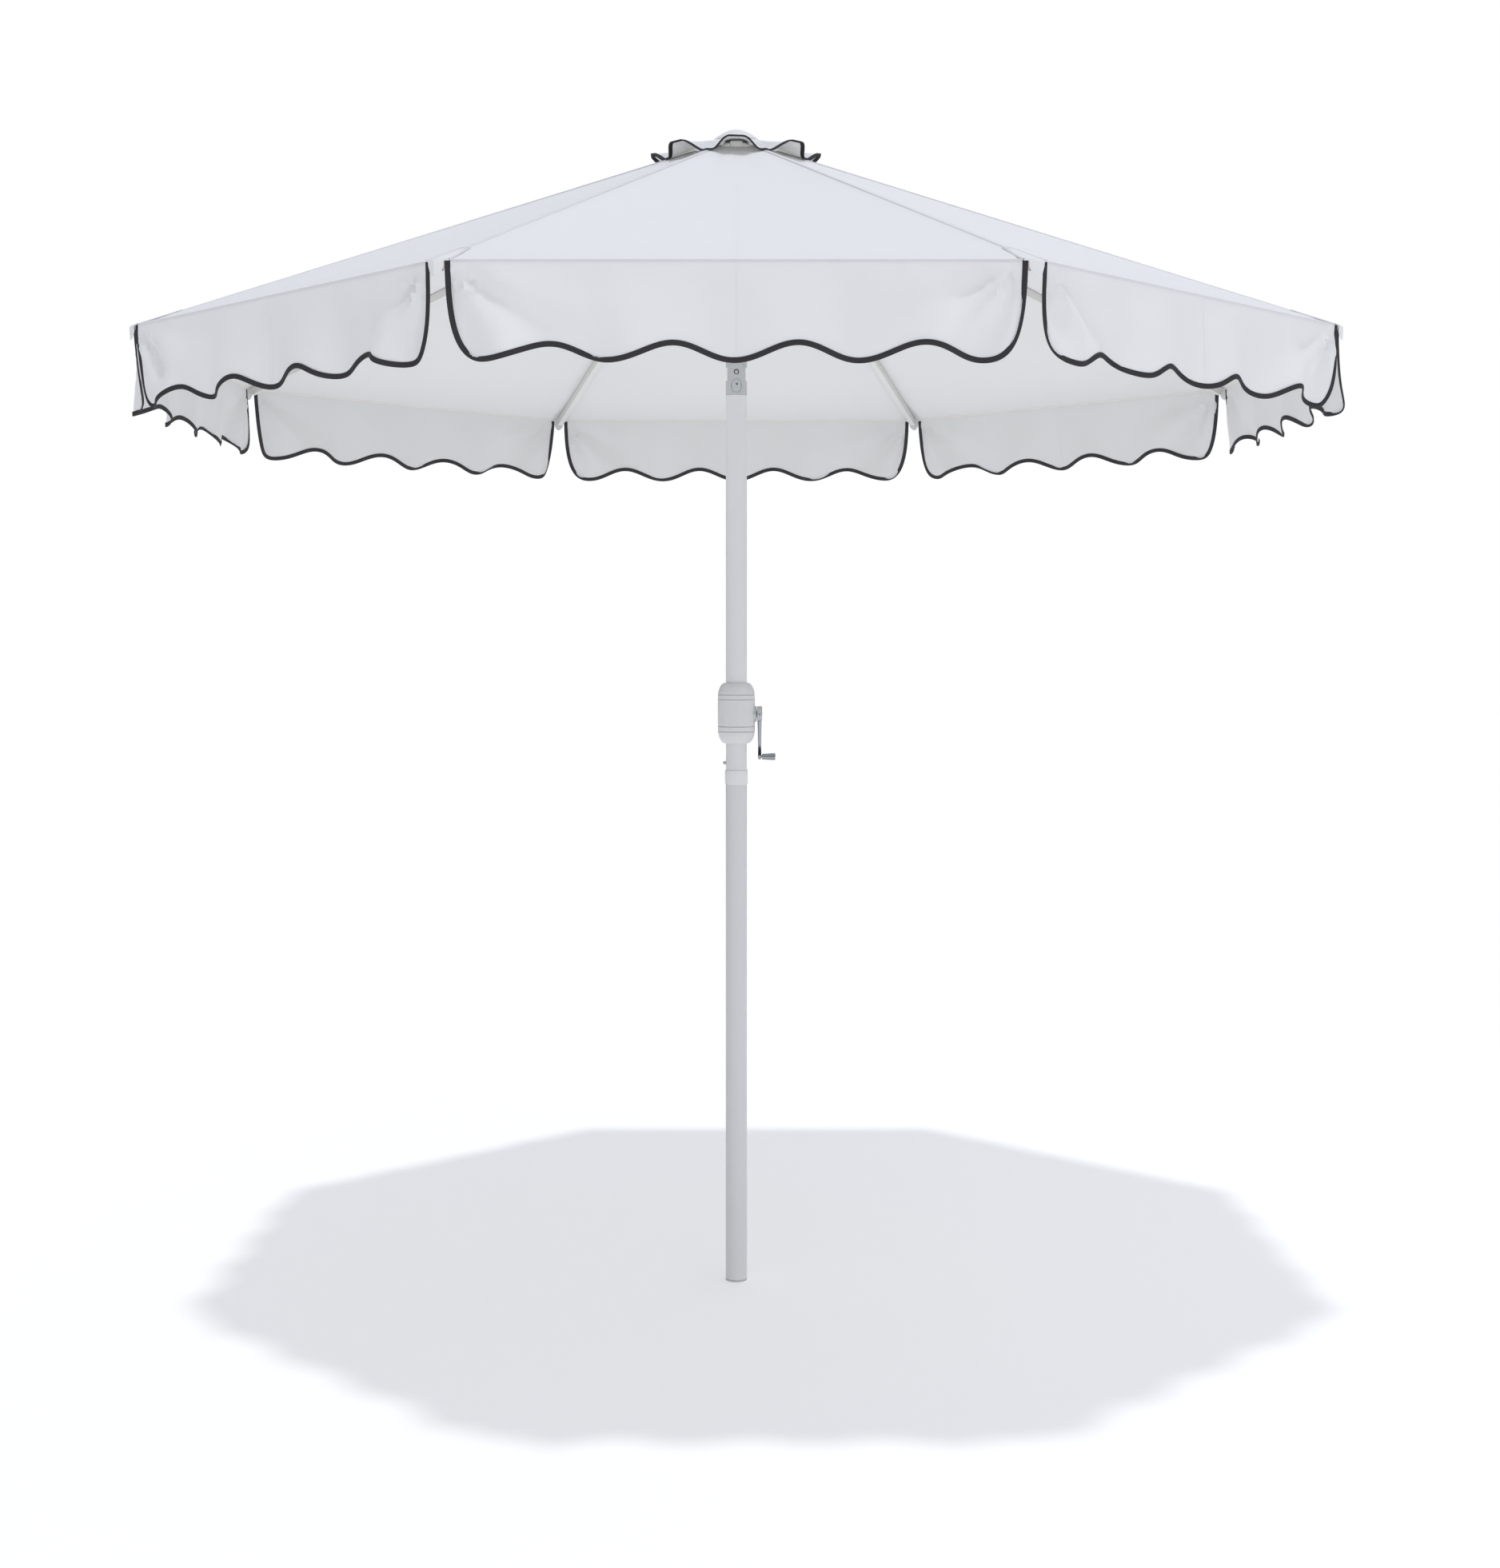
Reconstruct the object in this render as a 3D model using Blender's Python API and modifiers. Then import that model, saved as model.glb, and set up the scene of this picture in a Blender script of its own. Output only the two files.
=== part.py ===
"""Octagonal patio umbrella with a two-piece pole, a crank lift, a push-button tilt
and a scalloped drape valance. Metres, +Z up, origin at the centre of the pole's foot.
"""

import math

import bmesh
import bpy
from mathutils import Vector

# ---- driving dimensions -------------------------------------------------------------
SIDES = 8
TIP_R = 1.320           # canopy corner, measured from the pole's axis
TIP_Z = 2.076           # canopy rim above the foot
APEX_Z = 2.5785         # where the straight roof ridges would meet
FABRIC = 0.0006         # thickness of every cloth piece

POLE_R = 0.0240         # 48 mm tube
UPPER_R = 0.0237        # upper tube, a little slimmer than the lower one
TUBE_WALL = 0.0014
GAP = 0.0003            # left between pieces that touch

JOINT_Z = 1.135         # where the two pole pieces meet, under the collar
COLLAR_Z = (1.1185, 1.151)
COLLAR_R = 0.0260
SPIGOT_R = 0.0220       # reduced end of the lower pole, inside the upper one
SPIGOT_TOP = 1.228
SNAP_Z = 1.167
SNAP_R = 0.0040
SNAP_REACH = 0.0065     # how far the snap button stands out of the tube

HOUSING_Z = (1.2107, 1.348)
HOUSING_R = 0.0420
HOUSING_WALL = 0.0030
CRANK_Z = 1.2775
CRANK_ARM = 0.0965      # crank axis to grip axis
GRIP_X = (0.0580, 0.0880)

KNUCKLE_Z = 1.997       # foot of the tilt knuckle, on top of the upper pole
RIVET_Z = 2.048         # tilt axis
EAR_R = 0.0225
TONGUE_HALF = 0.0120
BUTTON_Z = 2.017
BUTTON_W, BUTTON_H = 0.0215, 0.0300
HEAD_TOP = 2.093        # where the mast tube starts
MAST_TOP = 2.5562

HINGE_R = 0.046         # rib hinges and strut hinges, from the pole's axis
RIB_DROP = 0.012        # rib centre line under the roof ridge
RIB_W, RIB_H, RIB_WALL = 0.014, 0.018, 0.0012
RIB_END_R = 1.308
BRACKET_X = 0.550       # strut pivot, along the rib from its hinge
BRACKET_DROP = 0.018    # and under the rib's centre line
STRUT_W, STRUT_H = 0.010, 0.013
HUB_R = 0.054
RING_R = 0.0018         # wire of the hinge rings

ROOF_HOLE_R = 0.100     # corner radius of the vent opening in the main roof
VENT_R = 0.166          # vent cap, where it is sewn down at the ribs
VENT_BILLOW = 0.036     # how far its edge stands out between two ribs
VENT_TOP = 2.586
CROWN_TOP = 2.5964       # the domed cap over the middle of the vent cap
VENT_LIFT = 0.036       # and how far it arches up there

FLAP_TOP_HALF = 0.4890  # half width of one valance flap at the rim
FLAP_PITCH = 0.2085     # lobe to lobe
FLAP_DROP = 0.1595      # mean depth of the scalloped edge
FLAP_WAVE = 0.0135
FLAP_LOBE_HALF = 2 * FLAP_PITCH

POLE_STEPS = 24         # facets round the poles, the housing and the knuckle
HUB_STEPS = 32          # round the hub, the runner and their rings
ROD_SIDES = 16          # round small turned pieces

# ---- worked out from them -----------------------------------------------------------
HALF_TURN = math.pi / SIDES
APOTHEM = TIP_R * math.cos(HALF_TURN)
RIB_SLOPE = math.atan2(APEX_Z - TIP_Z, TIP_R)
GORE_SLOPE = math.atan2(APEX_Z - TIP_Z, APOTHEM)
HINGE_Z = APEX_Z - HINGE_R * math.tan(RIB_SLOPE) - RIB_DROP / math.cos(RIB_SLOPE)
ARM = math.hypot(BRACKET_X, BRACKET_DROP)
ARM_SLOPE = RIB_SLOPE + math.atan2(BRACKET_DROP, BRACKET_X)
BRACKET_R = HINGE_R + ARM * math.cos(ARM_SLOPE)
BRACKET_Z = HINGE_Z - ARM * math.sin(ARM_SLOPE)
RUNNER_Z = HINGE_Z - 2 * ARM * math.sin(ARM_SLOPE)
RIB_LENGTH = (RIB_END_R - HINGE_R) / math.cos(RIB_SLOPE)

# ---- a clean file, and the collections ----------------------------------------------
for old in list(bpy.data.objects):
    bpy.data.objects.remove(old, do_unlink=True)
parts = bpy.data.collections.new("patio_umbrella")
cutters = bpy.data.collections.new("cutters")
for group in (parts, cutters):
    bpy.context.scene.collection.children.link(group)


# ---- materials ----------------------------------------------------------------------
def finish(name, colour, roughness, metallic=0.0):
    """One plain Principled material."""
    made = bpy.data.materials.new(name)
    made.use_nodes = True
    shader = made.node_tree.nodes["Principled BSDF"]
    shader.inputs["Base Color"].default_value = (*colour, 1.0)
    shader.inputs["Roughness"].default_value = roughness
    shader.inputs["Metallic"].default_value = metallic
    return made


CLOTH = ((0.88, 0.88, 0.90), 0.85)
COATED = ((0.66, 0.66, 0.67), 0.45)
PLASTIC = ((0.60, 0.60, 0.60), 0.50)
ZINC = ((0.42, 0.45, 0.47), 0.35, 0.9)
CHROME = ((0.75, 0.76, 0.78), 0.10, 1.0)
STEEL = ((0.55, 0.56, 0.58), 0.30, 1.0)
CORD = ((0.80, 0.80, 0.78), 0.80)


# ---- making things ------------------------------------------------------------------
def add(name, data, look, parent=None, at=(0, 0, 0), turn=(0, 0, 0)):
    """A named part of the umbrella with its own material."""
    made = bpy.data.objects.new(name, data)
    parts.objects.link(made)
    made.data.materials.clear()
    made.data.materials.append(finish(name, *look))
    made.parent = parent
    made.location = at
    made.rotation_euler = turn
    return made


def pivot(name, parent=None, at=(0, 0, 0), turn=0.0):
    """An empty on a joint's axis, turned about Z."""
    made = bpy.data.objects.new(name, None)
    parts.objects.link(made)
    made.parent = parent
    made.location = at
    made.rotation_euler.z = turn
    return made


def box_mesh(low, high):
    """A box between two corners."""
    work = bmesh.new()
    bmesh.ops.create_cube(work, size=1.0)
    for v in work.verts:
        v.co = [low[i] + (v.co[i] + 0.5) * (high[i] - low[i]) for i in range(3)]
    return to_mesh(work)


def rod_mesh(start, end, radius, end_radius=None, sides=ROD_SIDES):
    """A round bar between two points, tapered if it has an end radius."""
    work = bmesh.new()
    start, end = Vector(start), Vector(end)
    along = end - start
    second = radius if end_radius is None else end_radius
    bmesh.ops.create_cone(work, cap_ends=True, segments=sides, radius1=radius,
                          radius2=second, depth=along.length)
    turn = along.to_track_quat("Z", "Y")
    for v in work.verts:
        v.co = turn @ v.co + (start + end) / 2
    return to_mesh(work)


def to_mesh(work):
    """Finish a bmesh as a mesh with crisp edges and smooth round sides."""
    work.normal_update()
    bmesh.ops.recalc_face_normals(work, faces=work.faces)
    made = bpy.data.meshes.new("shape")
    work.to_mesh(made)
    work.free()
    made.shade_smooth()
    made.set_sharp_from_angle(angle=math.radians(35))
    return made


def turned_mesh(outline, steps):
    """A mesh turned about Z from (radius, height) points that run down the outer side."""
    profile = bpy.data.meshes.new("profile")
    count = len(outline)
    closed = outline[0][0] > 0 or outline[-1][0] > 0
    edges = [(i, (i + 1) % count) for i in range(count if closed else count - 1)]
    profile.from_pydata([(r, 0, z) for r, z in outline], edges, [])
    blank = bpy.data.objects.new("blank", profile)
    cutters.objects.link(blank)
    screw = blank.modifiers.new("turn", "SCREW")
    screw.axis = "Z"
    screw.angle = 2 * math.pi
    screw.steps = screw.render_steps = steps
    screw.use_merge_vertices = True
    screw.merge_threshold = 0.00001
    made = settled(blank)
    made.shade_smooth()
    made.set_sharp_from_angle(angle=math.radians(35))
    return made


def settled(blank):
    """The evaluated mesh of a blank, which is then removed."""
    bpy.context.view_layer.update()
    graph = bpy.context.evaluated_depsgraph_get()
    made = bpy.data.meshes.new_from_object(blank.evaluated_get(graph))
    bpy.data.objects.remove(blank, do_unlink=True)
    return made


def shaped(base, *steps):
    """Cut or join meshes in turn: each step is (operation, mesh)."""
    blank = bpy.data.objects.new("blank", base)
    cutters.objects.link(blank)
    tools = []
    for operation, tool_mesh in steps:
        tool = bpy.data.objects.new("cutter", tool_mesh)
        tool.hide_render = True
        tool.display_type = "WIRE"
        cutters.objects.link(tool)
        tools.append(tool)
        boolean = blank.modifiers.new(operation, "BOOLEAN")
        boolean.operation = operation
        boolean.object = tool
    made = settled(blank)
    for tool in tools:
        bpy.data.objects.remove(tool, do_unlink=True)
    made.shade_smooth()
    made.set_sharp_from_angle(angle=math.radians(35))
    return made


def rotated(mesh, angle):
    """The same mesh turned about Z."""
    turn_cos, turn_sin = math.cos(angle), math.sin(angle)
    for v in mesh.vertices:
        x, y, z = v.co
        v.co = (x * turn_cos - y * turn_sin, x * turn_sin + y * turn_cos, z)
    return mesh


def tube(outer, wall, low, high):
    """A plain round tube standing on Z."""
    inner = outer - wall
    return turned_mesh([(outer, high), (outer, low), (inner, low), (inner, high)], POLE_STEPS)


def sheet_curve(outline):
    """A flat outline as thick as the cloth, as a filled 2D curve."""
    made = bpy.data.curves.new("outline", "CURVE")
    made.dimensions = "2D"
    made.fill_mode = "BOTH"
    made.extrude = FABRIC / 2
    line = made.splines.new("POLY")
    line.points.add(len(outline) - 1)
    for point, (x, y) in zip(line.points, outline):
        point.co = (x, y, 0, 1)
    line.use_cyclic_u = True
    return made


# ---- the lower pole, its foot plug and the collar -----------------------------------
def build_pole():
    shoulder = JOINT_Z - 0.004
    inner, slim_inner = POLE_R - TUBE_WALL, SPIGOT_R - TUBE_WALL
    pole_outline = [
        (SPIGOT_R, SPIGOT_TOP), (SPIGOT_R, JOINT_Z + 0.002), (POLE_R, shoulder),
        (POLE_R, 0.004 + GAP), (inner, 0.004 + GAP), (inner, shoulder - 0.002),
        (slim_inner, JOINT_Z), (slim_inner, SPIGOT_TOP),
    ]
    snap_hole = rod_mesh((-0.030, 0, SNAP_Z), (-0.010, 0, SNAP_Z), SNAP_R + 0.0004, sides=12)
    lower = shaped(turned_mesh(pole_outline, POLE_STEPS), ("DIFFERENCE", snap_hole))
    add("lower_pole", lower, COATED)

    plug_r = POLE_R - TUBE_WALL - GAP
    plug = turned_mesh([
        (0, 0.030), (plug_r - 0.002, 0.030), (plug_r, 0.026), (plug_r, 0.004),
        (POLE_R, 0.004), (POLE_R, 0.001), (POLE_R - 0.001, 0), (0, 0),
    ], POLE_STEPS)
    add("pole_foot_plug", plug, PLASTIC)

    bore = POLE_R + GAP
    low, high = COLLAR_Z
    collar = turned_mesh([
        (bore, high), (COLLAR_R - 0.001, high), (COLLAR_R, high - 0.001),
        (COLLAR_R, low + 0.001), (COLLAR_R - 0.001, low), (bore, low),
    ], POLE_STEPS)
    add("pole_collar", collar, PLASTIC)

    cross_hole = rod_mesh((-0.040, 0, CRANK_Z), (0.040, 0, CRANK_Z), 0.0056)
    snap_hole = rod_mesh((-0.030, 0, SNAP_Z), (-0.015, 0, SNAP_Z), SNAP_R + 0.0004, sides=12)
    upper = shaped(
        tube(UPPER_R, TUBE_WALL, JOINT_Z + 0.0035, KNUCKLE_Z - GAP),
        ("DIFFERENCE", cross_hole), ("DIFFERENCE", snap_hole),
    )
    add("upper_pole", upper, COATED)

    tip = UPPER_R + SNAP_REACH
    button = turned_mesh([
        (0, tip), (SNAP_R * 0.5, tip - 0.0004), (SNAP_R, tip - 0.0020), (SNAP_R, 0.0188),
        (0.0062, 0.0188), (0.0062, 0.0174), (0, 0.0174),
    ], ROD_SIDES)
    slide = pivot("snap_button_slide", at=(0, 0, SNAP_Z))
    add("snap_button", button, STEEL, slide, turn=(0, -math.pi / 2, 0))


# ---- the crank: barrel housing, drum, bush, arm and grip ----------------------------
def barrel_outline(radius, inset, end_r):
    """Half the barrel's side: round shoulders and a straight middle, top to bottom."""
    low, high = HOUSING_Z[0] + inset, HOUSING_Z[1] - inset
    bend_r, bend_z = radius - end_r, 0.030 - inset
    top = [(end_r + bend_r * math.sin(a), high - bend_z * (1 - math.cos(a)))
           for a in (math.radians(step * 22.5) for step in range(5))]
    return top + [(r, low + high - z) for r, z in reversed(top)]


def build_crank():
    end_r = POLE_R + 0.0015
    outer = barrel_outline(HOUSING_R, 0.0, end_r)
    inner = barrel_outline(HOUSING_R - HOUSING_WALL, HOUSING_WALL, end_r)
    lip = UPPER_R + GAP
    outline = [(lip, HOUSING_Z[1]), *outer, (lip, HOUSING_Z[0]),
               (lip, HOUSING_Z[0] + HOUSING_WALL), *reversed(inner),
               (lip, HOUSING_Z[1] - HOUSING_WALL)]
    middle = sum(HOUSING_Z) / 2
    for name, side in (("crank_housing_front", 1), ("crank_housing_back", -1)):
        # the other half of the barrel is cut away
        other = box_mesh((-0.06, -0.0001 * side, middle - 0.09),
                         (0.06, 0.06 * side, middle + 0.09))
        bush_hole = rod_mesh((0.030, 0, CRANK_Z), (0.060, 0, CRANK_Z), 0.0188)
        half = shaped(turned_mesh(outline, POLE_STEPS), ("DIFFERENCE", other),
                      ("DIFFERENCE", bush_hole))
        add(name, half, PLASTIC)

    bush = shaped(
        rod_mesh((0.0345, 0, CRANK_Z), (0.0465, 0, CRANK_Z), 0.0185, 0.0180),
        ("DIFFERENCE", rod_mesh((0.03, 0, CRANK_Z), (0.05, 0, CRANK_Z), 0.0054)),
    )
    add("crank_bush", bush, ZINC)

    crank = pivot("crank_spin", at=(0, 0, CRANK_Z))
    flange = 0.0165
    drum = shaped(
        rod_mesh((-0.0300, 0, 0), (0.0540, 0, 0), 0.0050),
        ("UNION", rod_mesh((-0.0100, 0, 0), (0.0100, 0, 0), 0.0105)),
        ("UNION", rod_mesh((-0.0125, 0, 0), (-0.0100, 0, 0), flange)),
        ("UNION", rod_mesh((0.0100, 0, 0), (0.0125, 0, 0), flange)),
    )
    add("crank_drum", drum, STEEL, crank)

    arm = shaped(
        rod_mesh((0.0470, 0, 0), (0.0570, 0, 0), 0.0178, 0.0168),
        ("UNION", box_mesh((0.0490, -0.0045, -CRANK_ARM), (0.0560, 0.0045, 0))),
        ("UNION", rod_mesh((0.0480, 0, -CRANK_ARM), (0.0575, 0, -CRANK_ARM), 0.0070)),
        ("UNION", rod_mesh((0.0560, 0, -CRANK_ARM), (0.0850, 0, -CRANK_ARM), 0.0025, sides=12)),
        ("UNION", rod_mesh((0.0845, 0, -CRANK_ARM), (0.0865, 0, -CRANK_ARM), 0.0042, sides=12)),
        ("DIFFERENCE", rod_mesh((0.0400, 0, 0), (0.0545, 0, 0), 0.0053)),
    )
    add("crank_arm", arm, CHROME, crank)

    grip_pivot = pivot("grip_spin", crank, at=(0, 0, -CRANK_ARM))
    grip = shaped(
        rod_mesh((GRIP_X[0], 0, 0), (GRIP_X[1], 0, 0), 0.0065, 0.0080),
        ("DIFFERENCE", rod_mesh((0.0500, 0, 0), (0.0950, 0, 0), 0.0029, sides=12)),
        ("DIFFERENCE", rod_mesh((0.0840, 0, 0), (0.0950, 0, 0), 0.0047, sides=12)),
    )
    add("crank_grip", grip, CHROME, grip_pivot)


# ---- the tilt knuckle ---------------------------------------------------------------
def across(x, z, radius, half, sides=POLE_STEPS):
    """A round bar along Y, about the tilt axis's height."""
    return rod_mesh((x, -half, z), (x, half, z), radius, sides=sides)


def prism(outline, near, far):
    """A flat (x, z) outline drawn out along Y."""
    work = bmesh.new()
    face = work.faces.new([work.verts.new((x, near, z)) for x, z in outline])
    drawn = bmesh.ops.extrude_face_region(work, geom=[face])
    fresh = [v for v in drawn["geom"] if isinstance(v, bmesh.types.BMVert)]
    bmesh.ops.translate(work, verts=fresh, vec=(0, far - near, 0))
    return to_mesh(work)


def arc(x, z, radius, first, last, steps):
    """Points round an arc, from one angle in degrees to another."""
    angles = [math.radians(first + (last - first) * i / steps) for i in range(steps + 1)]
    return [(x + radius * math.cos(a), z + radius * math.sin(a)) for a in angles]


def oval(spare):
    """The tilt button's upright oval, grown by its clearance."""
    r = BUTTON_W / 2 + spare
    rise = (BUTTON_H - BUTTON_W) / 2
    return arc(0, BUTTON_Z + rise, r, 0, 180, 12) + arc(0, BUTTON_Z - rise, r, 180, 360, 12)


def build_knuckle():
    spigot_r = UPPER_R - TUBE_WALL - GAP
    blank = turned_mesh([
        (0, RIVET_Z + 0.024), (POLE_R, RIVET_Z + 0.024), (POLE_R, KNUCKLE_Z),
        (spigot_r, KNUCKLE_Z), (spigot_r, KNUCKLE_Z - 0.040), (0, KNUCKLE_Z - 0.040),
    ], POLE_STEPS)
    drop = 0.008
    lean = math.degrees(math.asin(drop / EAR_R))
    bottom = KNUCKLE_Z - 0.05
    ears = prism(
        arc(0, RIVET_Z, EAR_R, -lean, 180 + lean, 24)
        + [(-0.03, RIVET_Z - drop), (-0.03, bottom), (0.03, bottom), (0.03, RIVET_Z - drop)],
        -0.03, 0.03)
    slot_half = TONGUE_HALF + GAP
    slot_floor = RIVET_Z - 0.019
    cord_bore = rod_mesh((0.010, 0, KNUCKLE_Z - 0.06), (0.010, 0, RIVET_Z), 0.003, sides=12)
    base = shaped(
        blank,
        ("INTERSECT", ears),
        ("DIFFERENCE", box_mesh((-0.03, -slot_half, slot_floor), (0.03, slot_half, 2.2))),
        ("DIFFERENCE", prism(oval(0.0004), -0.030, -0.0130)),
        ("DIFFERENCE", across(0, RIVET_Z, 0.0033, 0.03, 12)),
        ("DIFFERENCE", cord_bore),
    )
    add("tilt_knuckle_base", base, ZINC)
    add("tilt_rivet", across(0, RIVET_Z, 0.0030, 0.0236, 12), STEEL)

    slide = pivot("tilt_button_slide")
    button = shaped(
        prism(oval(0.0), -0.0220, -0.0170),
        ("DIFFERENCE", rod_mesh((0, -0.030, BUTTON_Z + 0.006), (0, -0.0200, BUTTON_Z + 0.006),
                                0.0020, sides=12)),
    )
    add("tilt_button", button, ZINC, slide)

    # the head: a tongue between the ears and a skirt that clears them as it swings
    head = pivot("tilt", at=(0, 0, RIVET_Z))
    spigot_r = POLE_R - TUBE_WALL - GAP
    rise = HEAD_TOP - RIVET_Z
    blank = turned_mesh([
        (0, rise + 0.040), (spigot_r, rise + 0.040), (spigot_r, rise), (POLE_R, rise),
        (POLE_R, 0.012), (0, 0.012),
    ], POLE_STEPS)
    tongue = prism(arc(0, 0, 0.0177, 180, 360, 18) + [(0.0177, 0.0260), (-0.0177, 0.0260)],
                   -TONGUE_HALF, TONGUE_HALF)
    skirt = shaped(blank, ("DIFFERENCE", across(0, 0, EAR_R + 0.0005, 0.03)))
    made = shaped(
        skirt, ("UNION", tongue),
        ("DIFFERENCE", across(0, 0, 0.0033, 0.03, 12)),
        ("DIFFERENCE", rod_mesh((0.010, 0, -0.03), (0.010, 0, 0.10), 0.003, sides=12)),
    )
    add("tilt_knuckle_head", made, ZINC, head)
    return head


# ---- the mast, the hub on top of it and the pulley ----------------------------------
def slotted_disc(profile, slot_floor, slot_width, groove_low, groove_high):
    """A turned hub with a slot for every rib or strut and a groove for the hinge ring."""
    base = turned_mesh(profile, HUB_STEPS)
    half = slot_width / 2
    steps = []
    for k in range(SIDES):
        slot = box_mesh((slot_floor, -half, -0.05), (0.08, half, 0.05))
        steps.append(("DIFFERENCE", rotated(slot, HALF_TURN + k * 2 * HALF_TURN)))
    groove = turned_mesh([
        (HINGE_R + 0.0023, groove_high), (HINGE_R + 0.0023, groove_low),
        (HINGE_R - 0.0023, groove_low), (HINGE_R - 0.0023, groove_high),
    ], HUB_STEPS)
    return shaped(base, *steps, ("DIFFERENCE", groove))


def ring_mesh():
    """The wire ring that the ribs or struts hinge on."""
    section = [(HINGE_R + RING_R * math.cos(a), -RING_R * math.sin(a))
               for a in (i * math.pi / 3 for i in range(6))]
    return turned_mesh(section, HUB_STEPS)


def build_mast(head):
    def at(z):
        return (0, 0, z - RIVET_Z)

    pulley_at = Vector((0.0150, 0, 2.490))
    mast = shaped(
        tube(POLE_R, TUBE_WALL, HEAD_TOP + GAP, MAST_TOP),
        ("DIFFERENCE", box_mesh((0.010, -0.0060, pulley_at.z - 0.015),
                                (0.040, 0.0060, pulley_at.z + 0.015))),
        ("DIFFERENCE", rod_mesh(pulley_at - Vector((0, 0.03, 0)),
                                pulley_at + Vector((0, 0.03, 0)), 0.0022, sides=12)),
    )
    add("mast_tube", mast, COATED, head, at(0))

    axle = pivot("pulley_spin", head, pulley_at - Vector((0, 0, RIVET_Z)))
    wheel = turned_mesh([
        (0.0022, 0.0045), (0.0125, 0.0045), (0.0125, 0.0035), (0.0100, 0.0010),
        (0.0100, -0.0010), (0.0125, -0.0035), (0.0125, -0.0045), (0.0022, -0.0045),
    ], ROD_SIDES)
    add("pulley", wheel, PLASTIC, axle, turn=(math.pi / 2, 0, 0))
    pin = rod_mesh((0, -0.0180, 0), (0, 0.0180, 0), 0.0018, sides=12)
    add("pulley_pin", pin, STEEL, head, pulley_at - Vector((0, 0, RIVET_Z)))

    hub_top = 0.0120
    hub = slotted_disc([
        (POLE_R + GAP, hub_top), (HUB_R - 0.002, hub_top), (HUB_R, hub_top - 0.002),
        (HUB_R, -0.0120), (HUB_R - 0.004, -0.0160), (0.0320, -0.0160), (0.0300, -0.0200),
        (0.0290, -0.0320), (POLE_R + GAP, -0.0320),
    ], 0.0355, RIB_W + 0.0008, -0.0022, 0.02)
    add("top_hub", hub, PLASTIC, head, at(HINGE_Z))
    add("hub_ring", ring_mesh(), STEEL, head, at(HINGE_Z))

    top = HINGE_Z + hub_top + GAP
    plug_r = POLE_R - TUBE_WALL - GAP
    cap = turned_mesh([
        (0, VENT_TOP + 0.005), (0.0040, VENT_TOP + 0.005), (0.0040, top + 0.0030),
        (0.0300, top + 0.0030), (0.0300, top), (plug_r, top), (plug_r, top - 0.030),
        (0, top - 0.030),
    ], POLE_STEPS)
    add("hub_cap", cap, PLASTIC, head, at(0))

    crown = turned_mesh([
        (0, CROWN_TOP), (0.0180, CROWN_TOP - 0.0030), (0.0340, CROWN_TOP - 0.0107),
        (0.0460, CROWN_TOP - 0.0195), (0.0540, CROWN_TOP - 0.0265),
        (0.0540, CROWN_TOP - 0.0279), (0.0400, CROWN_TOP - 0.0223),
        (0.0200, CROWN_TOP - 0.0143), (0.0043, CROWN_TOP - 0.0084),
        (0.0043, CROWN_TOP - 0.0041), (0, CROWN_TOP - 0.0041),
    ], POLE_STEPS)
    add("crown_cap", crown, CLOTH, head, at(0))


# ---- the lift cord ------------------------------------------------------------------
def cord(name, points, parent, origin=(0, 0, 0)):
    """A length of the 3 mm lift cord along a few points."""
    made = bpy.data.curves.new(name, "CURVE")
    made.dimensions = "3D"
    made.bevel_depth = 0.0012
    made.bevel_resolution = 2
    made.use_fill_caps = True
    line = made.splines.new("POLY")
    line.points.add(len(points) - 1)
    for point, place in zip(line.points, points):
        point.co = (*(Vector(place) - Vector(origin)), 1)
    add(name, made, CORD, parent)


def build_cords(head):
    drum_side = 0.0105 + 0.0015
    cord("lift_cord_lower", [
        (0.0, drum_side, CRANK_Z), (0.0, drum_side, CRANK_Z + 0.040),
        (0.010, 0.002, CRANK_Z + 0.120), (0.010, 0, KNUCKLE_Z - 0.06),
        (0.010, 0, RIVET_Z - 0.020),
    ], None)
    pulley_x, pulley_z, groove = 0.0150, 2.490, 0.0100 + 0.0019
    over = [(pulley_x - groove * math.cos(a), 0, pulley_z + groove * math.sin(a))
            for a in (math.radians(30 * step) for step in range(7))]
    cord("lift_cord_upper", [
        (0.010, 0, RIVET_Z + 0.036), (0.010, 0, HEAD_TOP + 0.06),
        (pulley_x - groove, 0, HEAD_TOP + 0.12), *over,
    ], head, (0, 0, RIVET_Z))
    end = pulley_x + groove
    cord("lift_cord_fall", [
        (end, 0, pulley_z - 0.0005), (end, 0, RUNNER_Z + 0.0285),
    ], head, (0, 0, RIVET_Z))


# ---- the runner ---------------------------------------------------------------------
def build_runner(head):
    slide = pivot("runner_slide", head, (0, 0, RUNNER_Z - RIVET_Z))
    bore = POLE_R + 0.0007
    runner = slotted_disc([
        (bore, 0.0280), (0.0300, 0.0280), (0.0320, 0.0260), (0.0340, 0.0100),
        (HUB_R - 0.002, 0.0090), (HUB_R, 0.0070), (HUB_R, -0.0090), (0.0340, -0.0100),
        (0.0320, -0.0150), (bore, -0.0150),
    ], 0.0380, STRUT_W + 0.0008, -0.02, 0.0022)
    add("runner", runner, PLASTIC, slide)
    add("runner_ring", ring_mesh(), STEEL, slide)


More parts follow.
